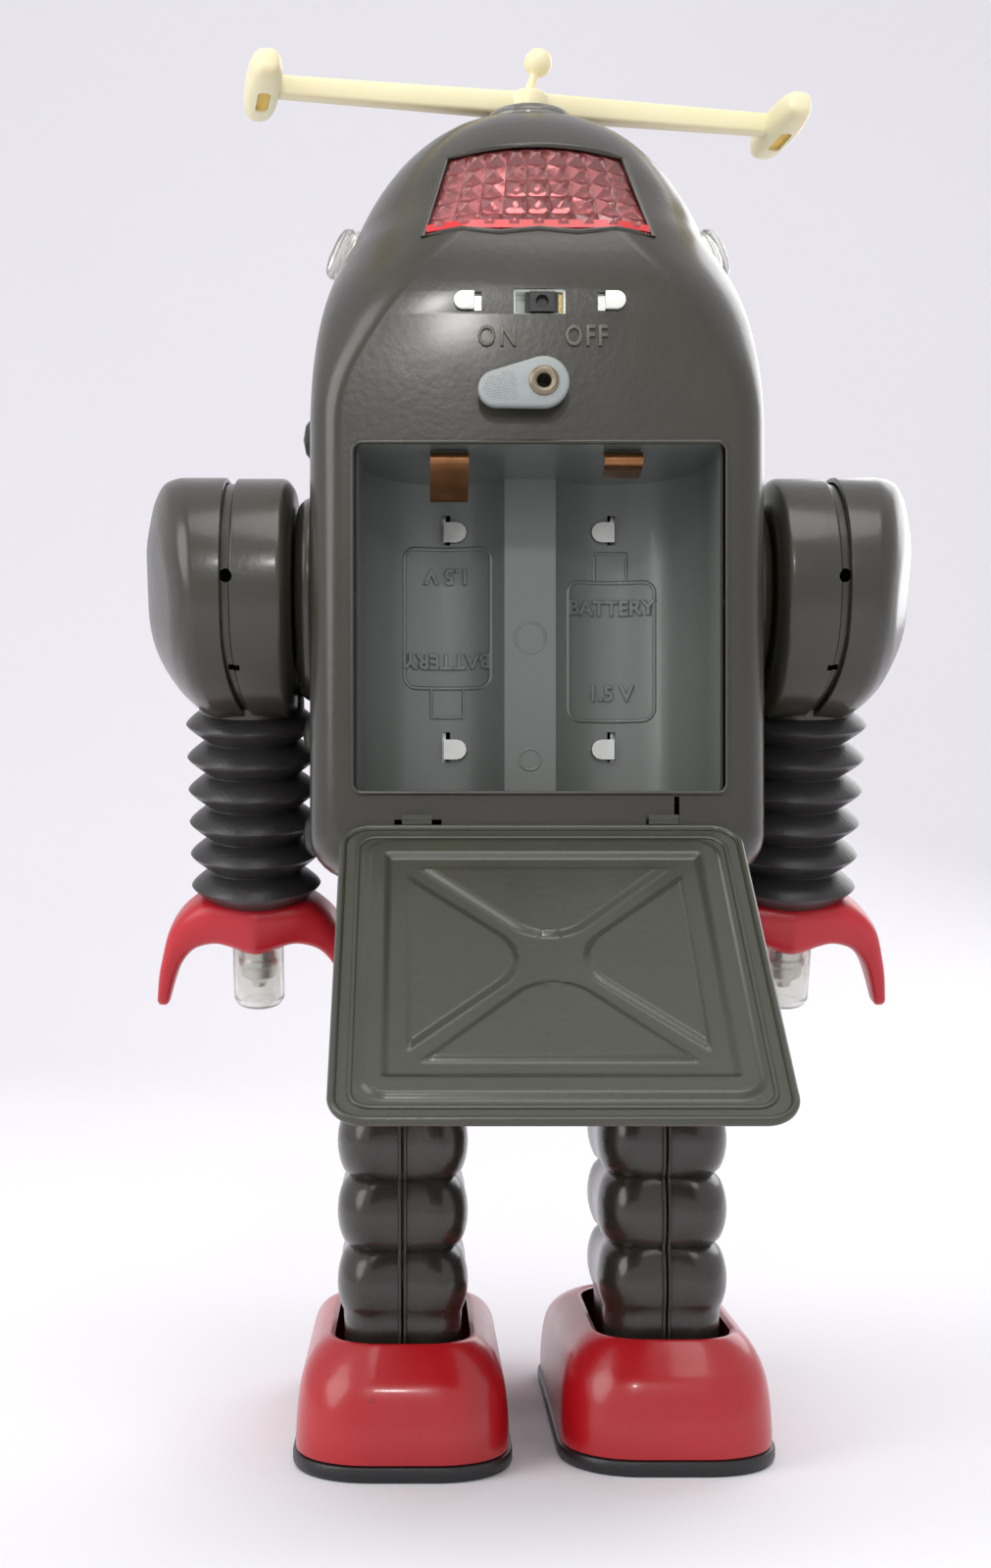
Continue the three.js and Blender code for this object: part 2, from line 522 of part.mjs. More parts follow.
// One arm hangs straight down from the shoulder axis here; the group leans it forward.
function arms() {
  const swing = new THREE.Group();
  swing.position.z = ARM.z;
  swing.rotation.x = -radians(ARM.hang);
  root.add(swing);
  piece(swing, "arm_shaft", "steel", aboutX(rod(1.7, -ARM.split - 8, ARM.split + 8), 10));

  const drum = (inset, from, to) => {
    const rings = [];
    const drops = [25.5, 24.6, 21.5, 16, 8, 0, -8, -16, -21.5, -24.6, -25.5];
    for (const drop of drops) {
      const height = drop * (1 - inset / ARM.radius);
      const halfDepth = Math.sqrt(Math.max(0, (ARM.radius - inset) ** 2 - height ** 2)) + 1.2;
      const taper = height < -2 ? 9 * (-(height + 2) / 23.5) ** 2 : height > 18 ? (height - 18) * 0.25 : 0;
      const x0 = from;
      const x1 = to - inset - taper;
      const ring = [];
      for (const [sx, sy, start] of [[1, 1, 0], [0, 1, 90], [0, -1, 180], [1, -1, 270]]) {
        // The outer face is domed from front to rear; the inner one only has a rounded edge.
        const reach = sx ? 13 : 1.5;
        const round = sx ? halfDepth * 0.92 : Math.min(5, halfDepth * 0.8);
        const cx = sx ? x1 - reach : x0 + reach;
        for (let i = 0; i <= 4; i++) {
          const a = radians(start + i * 22.5);
          const y = sy * (halfDepth - round) + round * Math.sin(a);
          ring.push(new THREE.Vector3(cx + reach * Math.cos(a), y, height));
        }
      }
      rings.push(ring);
    }
    return loft(rings);
  };
  const neckHole = aboutZ(rod(9, -40, -12), 16).translate([ARM.x, 0, 0]);
  const collar = [[9, -27.2], [11, -27.2], [11, -20], [9, -20], [9, -27.2]];
  const neck = aboutZ(collar, 16).translate([ARM.x, 0, 0]);
  const hollow = drum(0, ARM.inner, ARM.outer)
    .subtract(drum(1, ARM.inner + 1, ARM.outer))
    .add(neck)
    .subtract(neckHole)
    .subtract(aboutX(rod(2, 40, ARM.split + 10), 10));
  const inner = hollow.subtract(box(ARM.split, 100, -50, 50, -60, 60));
  const outer = hollow.subtract(box(0, ARM.split + GAP, -50, 50, -60, 60));

  const crestHalf = 0.7;
  const boot = [[BELLOWS.bore, -BELLOWS.top - 3.1], [BELLOWS.root, -BELLOWS.top - 3.1]];
  for (let i = 0; i < BELLOWS.pleats; i++) {
    const crest = -BELLOWS.top - 4.5 - i * BELLOWS.pitch;
    boot.push([BELLOWS.crest, crest + crestHalf], [BELLOWS.crest, crest - crestHalf]);
    boot.push([BELLOWS.root, crest - BELLOWS.pitch / 2]);
  }
  boot.push([BELLOWS.bore, boot.at(-1)[1]], boot[0]);

  const clawSolid = claw();
  const socket = [[0, -69], [4.2, -69], [4.2, -80.5], [3.6, -81], [3.6, -84.5], [2.4, -86.4], [0, -87]];
  const cover = [[4.6, -76.6], [5.4, -76.6], [5.4, -90.4], [5, -91.2], [0, -91.2], [0, -90.2], [4.6, -90.2],
    [4.6, -76.6]];
  for (const [side, hand] of [[1, "left"], [-1, "right"]]) {
    const parts = [
      ["arm_shell_inner_", "olive", inner],
      ["arm_shell_outer_", "olive", outer],
      ["bellows_", "brownRubber", aboutZ(boot, 16).translate([ARM.x, 0, 0])],
      ["claw_", "redPlastic", clawSolid.translate([ARM.x, 0, 0])],
      ["lamp_socket_", "steel", aboutZ(socket, 12).translate([ARM.x, 0, 0])],
      ["lamp_cover_", "clear", aboutZ(cover, 16).translate([ARM.x, 0, 0])],
    ];
    for (const [name, material, made] of parts) piece(swing, name + hand, material, made).scale.x = side;
  }
}

// A prong's section: shares of its half thickness and of its half depth.
const CLAW_SECTION = [[1, 0.55], [0.5, 1], [-0.5, 1], [-1, 0.55], [-1, -0.55], [-0.5, -1], [0.5, -1],
  [1, -0.55]];

// Two curved prongs that grow out of a round boss, which holds the lamp.
function claw() {
  const prong = [[8.5, -70.5], [14.6, -73.2], [18.3, -78.8], [20.4, -84.8], [CLAW.tipX, -CLAW.tipDrop]];
  const mirrored = prong.toReversed().map(([x, z]) => [-x, z]);
  const centreLine = new THREE.CatmullRomCurve3(
    [...mirrored, [0, -70.2], ...prong].map(([x, z]) => new THREE.Vector3(x, 0, z)));
  const steps = 14;
  const rings = [];
  for (let i = 0; i <= steps; i++) {
    const t = i / steps;
    const point = centreLine.getPoint(t);
    const along = centreLine.getTangent(t);
    const across = new THREE.Vector3(-along.z, 0, along.x);
    const toRoot = 1 - Math.abs(2 * t - 1);
    const thick = lerp(1.1, 4.3, toRoot ** 0.8);
    const deep = lerp(2.6, 9, toRoot ** 0.8);
    const ring = [];
    for (const [a, b] of CLAW_SECTION)
      ring.push(point.clone().addScaledVector(across, thick * a).add(new THREE.Vector3(0, deep * b, 0)));
    rings.push(ring);
  }
  return loft(rings)
    .add(aboutZ([[0, -CLAW.top - 3.4], [9.4, -CLAW.top - 3.4], [7.6, -76], [0, -76]], 16))
    .add(aboutZ(rod(8, -CLAW.top - 4, -CLAW.top + 1.8), 16))
    .subtract(aboutZ(rod(4.5, -100, -68.7), 14));
}

// ---------------------------------------------------------------- legs

// Half of a leg's section: a rounded oblong with a shallow valley down its side.
function legRing(z, scale, steps = 8) {
  const ring = [];
  for (let i = 0; i <= steps; i++) {
    const a = lerp(-Math.PI / 2, Math.PI / 2, i / steps);
    const valley = 1 - 0.1 * Math.exp(-((a / radians(18)) ** 2));
    const shape = 2 / 2.6;
    const x = LEG.halfWidth * Math.max(0, Math.cos(a)) ** shape * valley;
    const y = LEG.halfDepth * Math.sign(Math.sin(a)) * Math.abs(Math.sin(a)) ** shape;
    ring.push(new THREE.Vector3(GAP / 2 + x * scale, y * scale, z));
  }
  return ring;
}

function legs() {
  const rings = [legRing(11, BULGE.waist), legRing(BULGE.bottom, BULGE.waist)];
  for (let i = 0; i < BULGE.count; i++) {
    const low = BULGE.bottom + i * BULGE.pitch;
    rings.push(legRing(low + BULGE.pitch * 0.28, 0.985), legRing(low + BULGE.pitch * 0.72, 0.985));
    rings.push(legRing(low + BULGE.pitch, BULGE.waist));
  }
  const hollow = [legRing(5, 0.74), legRing(BULGE.bottom + BULGE.count * BULGE.pitch - 1.4, 0.74)]
    .map((ring) => ring.map((p) => new THREE.Vector3(p.x - GAP, p.y, p.z)));
  const half = loft(rings).subtract(loft(hollow));
  const legHalf = half.subtract(box(-1, 2.2, -16.5, 16.5, 90, 130));

  for (const [side, hand] of [[1, "left"], [-1, "right"]]) {
    const stride = new THREE.Group();
    stride.position.set(side * LEG.x, LEG.y + side * LEG.stagger, 0);
    root.add(stride);
    piece(stride, `leg_outer_${hand}`, "olive", legHalf).scale.x = side;
    piece(stride, `leg_inner_${hand}`, "olive", legHalf).scale.x = -side;
    // A steel hanger between the two halves carries the leg and reaches up into the gearbox.
    const hanger = box(-0.6, 0.6, -14, 12, 92, 124)
      .add(box(-0.6, 0.6, -26 - side * LEG.stagger, -13, 120, 150))
      .add(box(-1.8, 1.8, -16, 16, 92, 94));
    piece(stride, `leg_hanger_${hand}`, "steel", hanger);
    shoe(stride, hand);
    rollers(stride, hand);
  }
}

// A shoe section: a rounded oblong between a heel and a toe, both in the leg's own frame.
function shoeRing(z, heel, toe, halfWidth, heelRound, toeRound, steps = 4) {
  const ring = [];
  const quarter = (sx, end, round, start) => {
    const reach = Math.min(halfWidth * 0.95, round);
    for (let i = 0; i <= steps; i++) {
      const a = radians(start + (i * 90) / steps);
      const centreY = end === "heel" ? heel - round : toe + round;
      const x = sx * (halfWidth - reach) + reach * Math.cos(a);
      ring.push(new THREE.Vector3(x, centreY + round * Math.sin(a), z));
    }
  };
  quarter(1, "heel", heelRound, 0);
  quarter(-1, "heel", heelRound, 90);
  quarter(-1, "toe", toeRound, 180);
  quarter(1, "toe", toeRound, 270);
  return ring;
}

function shoe(stride, hand) {
  const heel = SHOE.heel - LEG.y;
  const toe = SHOE.toe - LEG.y;
  const base = SHOE.solePlate + GAP;
  const outside = [
    shoeRing(base, heel - 1, toe + 1, 20.9, 17, 19),
    shoeRing(9, heel - 1.4, toe + 1.2, 20.8, 17, 19),
    shoeRing(14, heel - 2.6, toe + 4.5, 20.2, 16.5, 19),
    shoeRing(18.5, heel - 4.4, toe + 11, 19.2, 16, 18),
    shoeRing(22, heel - 6.4, toe + 20, 17.6, 15, 16),
    shoeRing(24.2, heel - 8.4, toe + 28, 15.4, 12, 13),
  ];
  const inside = [
    shoeRing(0, heel - 2, toe + 2, 19.9, 16, 18),
    shoeRing(9, heel - 2.4, toe + 2.2, 19.8, 16, 18),
    shoeRing(14, heel - 3.6, toe + 6, 19.1, 15.5, 18),
    shoeRing(18, heel - 5.6, toe + 13, 17.9, 15, 17),
    shoeRing(22.6, heel - 8.8, toe + 30, 14.2, 12, 13),
    shoeRing(40, heel - 8.8, toe + 30, 14.2, 12, 13),
  ];
  piece(stride, `shoe_${hand}`, "red", loft(outside).subtract(loft(inside)));

  // The sole plate closes the shoe from below and has a window for each roller.
  const plate = loft([
    shoeRing(0, heel, toe, SHOE.halfWidth, 18, 20),
    shoeRing(SHOE.solePlate, heel, toe, SHOE.halfWidth, 18, 20),
  ]);
  const cheeks = [ROLLER.frontY, ROLLER.rearY].map((y) => {
    const window = box(-ROLLER.halfWidth - 1, ROLLER.halfWidth + 1, y - LEG.y - 6, y - LEG.y + 6, -1, 9);
    const bearing = aboutX(rod(ROLLER.shaft + GAP, -12, 12), 10).translate([0, y - LEG.y, ROLLER.z]);
    const ears = box(-ROLLER.halfWidth - 2, ROLLER.halfWidth + 2, y - LEG.y - 3, y - LEG.y + 3, 1, 8.3);
    return { window, bearing, ears };
  });
  let sole = plate;
  for (const { window, bearing, ears } of cheeks) sole = sole.add(ears).subtract(window).subtract(bearing);
  piece(stride, `sole_${hand}`, "blackRubber", sole);
}

function rollers(stride, hand) {
  const { radius, halfWidth, shaft } = ROLLER;
  const end = halfWidth + 1.6;
  const profile = [[0, -end], [shaft, -end], [shaft, -halfWidth], [radius, -halfWidth], [radius, halfWidth],
    [shaft, halfWidth], [shaft, end], [0, end]];
  for (const [place, y] of [["front", ROLLER.frontY], ["rear", ROLLER.rearY]]) {
    const mesh = piece(stride, `roller_${place}_${hand}`, "blackRubber", aboutX(profile, 16));
    mesh.position.set(0, y - LEG.y, ROLLER.z);
  }
}

// ---------------------------------------------------------------- drive

// Positions of the drive's axes as [y, z]. Meshing wheels are 19.2 mm apart.
const GEAR_REACH = (GEAR_MODULE * (TEETH.wheel + TEETH.pinion)) / 2;
const CRANK = [-14, 139];
const LAY = [-14 - GEAR_REACH * Math.sin(radians(20)), 139 + GEAR_REACH * Math.cos(radians(20))];
const MOTOR = [LAY[0] - GEAR_REACH * Math.sin(radians(5)), LAY[1] + GEAR_REACH * Math.cos(radians(5))];

// A toothed outline in (y, z) about the origin, with a tooth pointing at angle toothAt.
function gearShape(teeth, toothAt) {
  const pitchRadius = (GEAR_MODULE * teeth) / 2;
  const tip = pitchRadius + 0.7 * GEAR_MODULE;
  const toRoot = pitchRadius - 0.95 * GEAR_MODULE;
  const step = (2 * Math.PI) / teeth;
  const points = [];
  for (let i = 0; i < teeth; i++)
    for (const [offset, radius] of [[-0.27, toRoot], [-0.1, tip], [0.1, tip], [0.27, toRoot]]) {
      const a = toothAt + (i + offset) * step;
      points.push([radius * Math.cos(a), radius * Math.sin(a)]);
    }
  return shapeOf(points);
}

// Angle from one axis to another, in the (y, z) plane.
const bearing = (from, to) => Math.atan2(to[1] - from[1], to[0] - from[0]);

function drive() {
  for (const [side, hand] of [[1, "left"], [-1, "right"]]) {
    const sheet = side > 0 ? [PLATE_X, PLATE_X + 1] : [-PLATE_X - 1, -PLATE_X];
    let plate = box(sheet[0], sheet[1], -34, 0.6, 128, 214);
    for (const z of TAB_HEIGHTS)
      plate = plate
        .add(box(side * PLATE_X - 0.5, side * PLATE_X + 0.5, 0, 4.4, z - 2.1, z + 2.1))
        .add(alongY(roundedTab(side * (PLATE_X + 0.5), side * (PLATE_X - 4.3), z, 2.1), 3.8, 4.4));
    for (const [y, z, radius] of [[...CRANK, 2.5], [...LAY, 1.8], [0, ARM.z, 4.5]])
      plate = plate.subtract(aboutX(rod(radius, -30, 30), 12).translate([0, y, z]));
    piece(root, `gearbox_plate_${hand}`, "steel", plate);
  }
  const spacer = box(-PLATE_X + GAP, PLATE_X - GAP, -33, -30, 205, 213)
    .subtract(box(-12, 12, -40, -20, 207.5, 210.5));
  piece(root, "gearbox_spacer", "steel", spacer);

  const can = [[0, -16], [3, -16], [3, -14.5], [11, -14.5], [11, 6], [3, 6], [3, 7.5], [1.6, 7.5],
    [1.6, 5], [0, 5]];
  piece(root, "motor", "steel", aboutX(can, 20).translate([0, MOTOR[0], MOTOR[1]]));
  const glass = aboutZ([[0, 252], [3, 252], [3, 257], [2, 257.4], [4, 260], [4, 263], [2.4, 265.6],
    [0, 266.4]], 12);
  piece(root, "head_lamp", "clear", glass.translate([0, 16, -2]));

  // Meshing teeth: a tooth of the wheel points at the pinion, a gap of the pinion points back.
  const pinionGap = Math.PI / TEETH.pinion;
  const pinion = alongX(gearShape(TEETH.pinion, bearing(MOTOR, LAY) + pinionGap), 9, 14)
    .add(aboutX(rod(1.2, 5.4, 14.6), 10));
  const motorGear = piece(root, "motor_pinion", "nylon", pinion);
  motorGear.position.set(0, MOTOR[0], MOTOR[1]);

  const lay = alongX(gearShape(TEETH.wheel, bearing(LAY, MOTOR)), 9.6, 13.4)
    .add(alongX(gearShape(TEETH.pinion, bearing(LAY, CRANK) + pinionGap), 3, 9.7))
    .add(aboutX(rod(1.5, -18.6, 18.6), 10));
  piece(root, "reduction_gear", "nylon", lay).position.set(0, LAY[0], LAY[1]);

  const crank = alongX(gearShape(TEETH.wheel, bearing(CRANK, LAY)), 3.6, 8)
    .add(aboutX(rod(2, -20, 20), 12))
    .add(aboutX(rod(8, 19.6, 23), 16).translate([0, 5, 0]))
    .add(aboutX(rod(8, -23, -19.6), 16).translate([0, -5, 0]));
  piece(root, "crank_shaft", "steel", crank).position.set(0, CRANK[0], CRANK[1]);
}

// ---------------------------------------------------------------- assembly

torsoShells();
torsoFittings();
sidePlug();
switchAndLatch();
batteryBay();
batteryDoor();
antenna();
arms();
legs();
drive();

root.updateMatrixWorld(true);
const whole = new THREE.Box3().setFromObject(root, true);
root.position.y = -(whole.min.y + whole.max.y) / 2;

export default root;
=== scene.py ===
"""Looks of the battery-operated tin robot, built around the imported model.

Shapes are drawn in millimetres in the robot's drawing frame: y = 0 at half the body's depth.
"""
import json
import math

import bmesh
import bpy
from mathutils import Matrix, Vector


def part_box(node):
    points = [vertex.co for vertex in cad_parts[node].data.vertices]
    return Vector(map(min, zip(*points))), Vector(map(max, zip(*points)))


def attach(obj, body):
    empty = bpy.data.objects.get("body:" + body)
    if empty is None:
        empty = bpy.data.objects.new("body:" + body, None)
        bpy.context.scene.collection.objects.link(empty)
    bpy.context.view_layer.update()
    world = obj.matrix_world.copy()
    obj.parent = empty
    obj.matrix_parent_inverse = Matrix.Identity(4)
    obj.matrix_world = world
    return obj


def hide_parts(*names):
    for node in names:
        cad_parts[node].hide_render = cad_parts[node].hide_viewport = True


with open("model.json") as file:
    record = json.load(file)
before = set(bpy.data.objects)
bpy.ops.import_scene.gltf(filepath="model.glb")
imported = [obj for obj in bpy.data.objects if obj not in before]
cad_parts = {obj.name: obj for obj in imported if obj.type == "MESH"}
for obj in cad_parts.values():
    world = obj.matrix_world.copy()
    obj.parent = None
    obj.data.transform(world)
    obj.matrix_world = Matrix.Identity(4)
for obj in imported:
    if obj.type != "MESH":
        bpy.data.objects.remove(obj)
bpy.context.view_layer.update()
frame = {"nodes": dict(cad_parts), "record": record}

MM = 0.001
REAR = 37.5
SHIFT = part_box("rear_shell")[1][1] / MM - REAR

JOINTS = {joint["name"]: joint for joint in frame["record"]["behaviour"]["joints"]}


def lerp(a, b, t):
    return a + (b - a) * t


def clamp(v, low=0.0, high=1.0):
    return max(low, min(high, v))


def smooth(low, high, v):
    t = clamp((v - low) / (high - low))
    return t * t * (3 - 2 * t)


def joint_point(name):
    x, y, z = (v / MM for v in JOINTS[name]["pos_m"])
    return Vector((x, y - SHIFT, z))


# ---------------------------------------------------------------- materials

def material(name, color, roughness=0.3, metallic=0.0, mottle=0.15, grain=0.05, scale=45.0,
             wear=None, **sockets):
    """A finish with mottled colour, uneven gloss, fine surface grain and, with wear, worn lighter edges."""
    mat = bpy.data.materials.new(name)
    mat.use_nodes = True
    nodes, links = mat.node_tree.nodes, mat.node_tree.links
    shader = nodes["Principled BSDF"]
    shader.inputs["Metallic"].default_value = metallic
    for key, value in sockets.items():
        shader.inputs[key.replace("_", " ")].default_value = value
    where = nodes.new("ShaderNodeTexCoord").outputs["Object"]

    def noise(size, detail=4.0):
        node = nodes.new("ShaderNodeTexNoise")
        node.inputs["Scale"].default_value = size
        node.inputs["Detail"].default_value = detail
        links.new(where, node.inputs["Vector"])
        return node.outputs["Fac"]

    def ramp(value, low, high, a, b):
        node = nodes.new("ShaderNodeMapRange")
        for socket, number in zip(("From Min", "From Max", "To Min", "To Max"), (low, high, a, b)):
            node.inputs[socket].default_value = number
        links.new(value, node.inputs["Value"])
        return node.outputs["Result"]

    def mix(factor, a, b):
        node = nodes.new("ShaderNodeMix")
        node.data_type = "RGBA"
        links.new(factor, node.inputs["Factor"])
        for socket, value in ((node.inputs[6], a), (node.inputs[7], b)):
            if isinstance(value, bpy.types.NodeSocket):
                links.new(value, socket)
            else:
                socket.default_value = (*value, 1)
        return node.outputs[2]

    dark = [c * (1 - mottle) for c in color]
    light = [min(1, c * (1 + mottle)) for c in color]
    base = mix(ramp(noise(scale), 0.3, 0.7, 0, 1), dark, light)
    gloss = ramp(noise(scale * 4, 6), 0.25, 0.75, roughness * 0.9, min(1, roughness * 1.1))
    if wear:
        edge = nodes.new("ShaderNodeNewGeometry").outputs["Pointiness"]
        # Edge wear: sharp edges, patchy by noise, take the worn colour.
        wear_and_painted_highlight = nodes.new("ShaderNodeMath")
        wear_and_painted_highlight.operation = "MULTIPLY"
        links.new(ramp(edge, 0.56, 0.62, 0, 1), wear_and_painted_highlight.inputs[0])
        links.new(ramp(noise(scale * 9, 8), 0.48, 0.62, 0, 0.7), wear_and_painted_highlight.inputs[1])
        base = mix(wear_and_painted_highlight.outputs[0], base, wear)
        specks = ramp(noise(scale * 14, 2), 0.735, 0.75, 0, 0.35)
        base = mix(specks, base, [c * 0.35 for c in color])
    links.new(base, shader.inputs["Base Color"])
    links.new(gloss, shader.inputs["Roughness"])
    bump = nodes.new("ShaderNodeBump")
    bump.inputs["Strength"].default_value = grain
    bump.inputs["Distance"].default_value = 0.0004
    links.new(noise(scale * 22, 3), bump.inputs["Height"])
    links.new(bump.outputs["Normal"], shader.inputs["Normal"])
    return mat


OLIVE = (0.034, 0.031, 0.022)
PAINT = dict(wear=(0.11, 0.1, 0.08), Coat_Weight=0.3, Coat_Roughness=0.15)
MATS = {
    "olive": material("olive_enamel", OLIVE, 0.3, 0.1, 0.08, 0.12, 30, **PAINT),
    # A lighter enamel for the raised ON/OFF letters, which are olive like the body: painted highlight for
    # the light on their edges.
    "wear_and_painted_highlight": material("painted_highlight_enamel", (0.1, 0.096, 0.075), 0.3, 0.2, 0.1, 0.1, 60),
    "door": material("door_enamel", (0.041, 0.043, 0.029), 0.36, 0.1, 0.08, 0.12, 30, **PAINT),
    "brown_enamel": material("brown_enamel", (0.026, 0.022, 0.0175), 0.27, 0.05, 0.12, 0.1, 40, **PAINT),
    "grey_enamel": material("grey_enamel", (0.175, 0.192, 0.178), 0.34, 0.3, 0.03, 0.06, 14,
                            Coat_Weight=0.15),
    "red_enamel": material("red_enamel", (0.4, 0.005, 0.01), 0.3, 0.0, 0.06, 0.05, 30,
                           wear=(0.3, 0.01, 0.012), Coat_Weight=0.3, Coat_Roughness=0.1),
    "red_plastic": material("red_plastic", (0.5, 0.012, 0.022), 0.34, 0.0, 0.06, 0.1, 30,
                            Subsurface_Weight=0.15, Subsurface_Scale=0.003),
    "red_lens": material("red_lens", (0.76, 0.22, 0.22), 0.07, 0.0, 0.12, 0.02, 60,
                         Transmission_Weight=0.8, IOR=1.55, Coat_Weight=0.6, Coat_Roughness=0.04),
    "lens_foot": material("lens_foot", (0.62, 0.012, 0.016), 0.2, 0.0, 0.1, 0.05, 60, Coat_Weight=0.5),
    "clear_lens": material("clear_lens", (0.9, 0.9, 0.86), 0.08, 0.0, 0.04, 0.05, 90,
                           Transmission_Weight=0.88, IOR=1.46),
    "crown": material("smoked_clear", (0.55, 0.54, 0.5), 0.12, 0.0, 0.08, 0.05, 90,
                      Transmission_Weight=0.8, IOR=1.46),
    "cream_plastic": material("cream_plastic", (0.84, 0.78, 0.5), 0.33, 0.0, 0.05, 0.06, 30,
                              Subsurface_Weight=0.2, Subsurface_Scale=0.004),
    "amber": material("aged_amber", (0.75, 0.5, 0.06), 0.45, 0.0, 0.2, 0.1, 120),
    "grey_plastic": material("latch_plastic", (0.3, 0.325, 0.315), 0.4, 0.0, 0.06, 0.15, 60),
    "black_plastic": material("black_plastic", (0.018, 0.018, 0.018), 0.4, 0.0, 0.2, 0.1, 60),
    "sole": material("sole_black", (0.012, 0.012, 0.013), 0.38, 0.0, 0.2, 0.3, 50,
                     wear=(0.05, 0.05, 0.05)),
    "bellows": material("bellows_vinyl", (0.026, 0.024, 0.024), 0.35, 0.0, 0.15, 0.2, 50),
    "copper": material("copper", (0.27, 0.125, 0.055), 0.34, 1.0, 0.25, 0.15, 160),
    "brass": material("brass", (0.36, 0.27, 0.12), 0.3, 1.0, 0.2, 0.1, 120),
    "eyelet": material("aged_brass", (0.2, 0.17, 0.12), 0.38, 0.9, 0.2, 0.1, 120),
    "steel": material("tinned_steel", (0.62, 0.63, 0.6), 0.3, 1.0, 0.12, 0.1, 120),
    "bright": material("bright_tin", (0.78, 0.82, 0.74), 0.4, 0.25, 0.12, 0.1, 200),
    "nylon": material("nylon", (0.7, 0.68, 0.6), 0.45, 0.0, 0.05, 0.05, 60),
}

slot_of = {part["node"]: part["material_slot"] for part in frame["record"]["subparts"]}
for node, obj in frame["nodes"].items():
    for slot in obj.material_slots:
        slot.material = MATS[slot_of[node]]


# ---------------------------------------------------------------- mesh tools

def keep(v):
    return v


def piece(name, verts, faces, finish, body="torso", place=keep, stands_for=(), slot=None, sharp=38):
    """A named piece from points in millimetres; place moves them into the drawing frame."""
    mesh = bpy.data.meshes.new(name)
    points = [place(Vector(v)) for v in verts]
    mesh.from_pydata([Vector((p.x, p.y + SHIFT, p.z)) * MM for p in points], [], faces)
    bm = bmesh.new()
    bm.from_mesh(mesh)
    bmesh.ops.remove_doubles(bm, verts=bm.verts, dist=1e-6)
    bmesh.ops.recalc_face_normals(bm, faces=bm.faces)
    bm.to_mesh(mesh)
    bm.free()
    obj = bpy.data.objects.new(name, mesh)
    bpy.context.collection.objects.link(obj)
    if finish:
        mesh.materials.append(MATS[finish])
        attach(obj, body)
        slot or finish
        if stands_for:
            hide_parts(*stands_for)
    shade(obj, sharp)
    return obj


def shade(obj, sharp=38):
    obj.data.shade_smooth()
    obj.data.set_sharp_from_angle(angle=math.radians(sharp))


def bake(obj, sharp=38):
    bpy.context.view_layer.update()
    graph = bpy.context.evaluated_depsgraph_get()
    mesh = bpy.data.meshes.new_from_object(obj.evaluated_get(graph))
    obj.modifiers.clear()
    obj.data = mesh
    shade(obj, sharp)


def carve(obj, *tools, how="DIFFERENCE", sharp=38):
    for tool in tools:
        modifier = obj.modifiers.new("carve", "BOOLEAN")
        modifier.operation = how
        modifier.solver = "EXACT"
        modifier.object = tool
    bake(obj, sharp)
    for tool in tools:
        bpy.data.objects.remove(tool)
    return obj


def bevel(obj, width, segments=3, angle=35, sharp=38):
    modifier = obj.modifiers.new("bevel", "BEVEL")
    modifier.width = width * MM
    modifier.segments = segments
    modifier.limit_method = "ANGLE"
    modifier.angle_limit = math.radians(angle)
    bake(obj, sharp)
    return obj


def loft(rings, closed_ends=True):
    """Points and faces between rings of equally many points."""
    count = len(rings[0])
    verts = [p for ring in rings for p in ring]
    faces = []
    for r in range(len(rings) - 1):
        for i in range(count):
            j = (i + 1) % count
            faces.append((r * count + i, r * count + j, (r + 1) * count + j, (r + 1) * count + i))
    if closed_ends:
        faces.append(tuple(range(count)))
        faces.append(tuple(range(len(verts) - count, len(verts))))
    return verts, faces


def ring_of_rings(rings):
    """A closed band: the last ring joins the first."""
    verts, faces = loft([*rings, rings[0]], closed_ends=False)
    return verts, faces


def lathe(profile, axis="Z", steps=64):
    """Turns [radius, distance] points about an axis; the ends at radius 0 close it."""
    rings = []
    for k in range(steps):
        a = 2 * math.pi * k / steps
        c, s = math.cos(a), math.sin(a)
        turn = {"X": lambda r, h: (h, r * c, r * s), "Y": lambda r, h: (r * s, h, r * c),
                "Z": lambda r, h: (r * c, r * s, h)}[axis]
        rings.append([turn(r, h) for r, h in profile])
    count = len(profile)
    verts = [p for ring in rings for p in ring]
    faces = []
    closed = profile[0] == profile[-1]
    for k in range(steps):
        n = (k + 1) % steps
        for i in range(count - 1):
            faces.append((k * count + i, k * count + i + 1, n * count + i + 1, n * count + i))
    if not closed:
        faces = [f for f in faces if len(set(f)) == 4]
    return verts, faces


def rounded(points, radius, steps=5):
    """An open profile with its inner corners rounded."""
    out = [points[0]]
    for i in range(1, len(points) - 1):
        p = Vector(points[i])
        a, b = Vector(points[i - 1]) - p, Vector(points[i + 1]) - p
        run = min(radius, a.length * 0.45, b.length * 0.45)
        start, end = p + a.normalized() * run, p + b.normalized() * run
        for k in range(steps + 1):
            t = k / steps
            out.append(tuple(start * (1 - t) ** 2 + p * 2 * t * (1 - t) + end * t * t))
    out.append(points[-1])
    return out


def box(x0, x1, y0, y1, z0, z1):
    verts = [(x, y, z) for z in (z0, z1) for y in (y0, y1) for x in (x0, x1)]
    return verts, [(0, 2, 3, 1), (4, 5, 7, 6), (0, 1, 5, 4), (2, 6, 7, 3), (0, 4, 6, 2), (1, 3, 7, 5)]


def prism_y(outline, y0, y1):
    return loft([[(x, y, z) for x, z in outline] for y in (y0, y1)])


def rectangle(half_x, half_z, radius, cx=0.0, cz=0.0, steps=8):
    """A rectangle with round corners, in x and z."""
    points = []
    for sx, sz, start in ((1, 1, 0), (-1, 1, 90), (-1, -1, 180), (1, -1, 270)):
        for k in range(steps + 1):
            a = math.radians(start + 90 * k / steps)
            points.append((cx + sx * (half_x - radius) + radius * math.cos(a),
                           cz + sz * (half_z - radius) + radius * math.sin(a)))
    return points


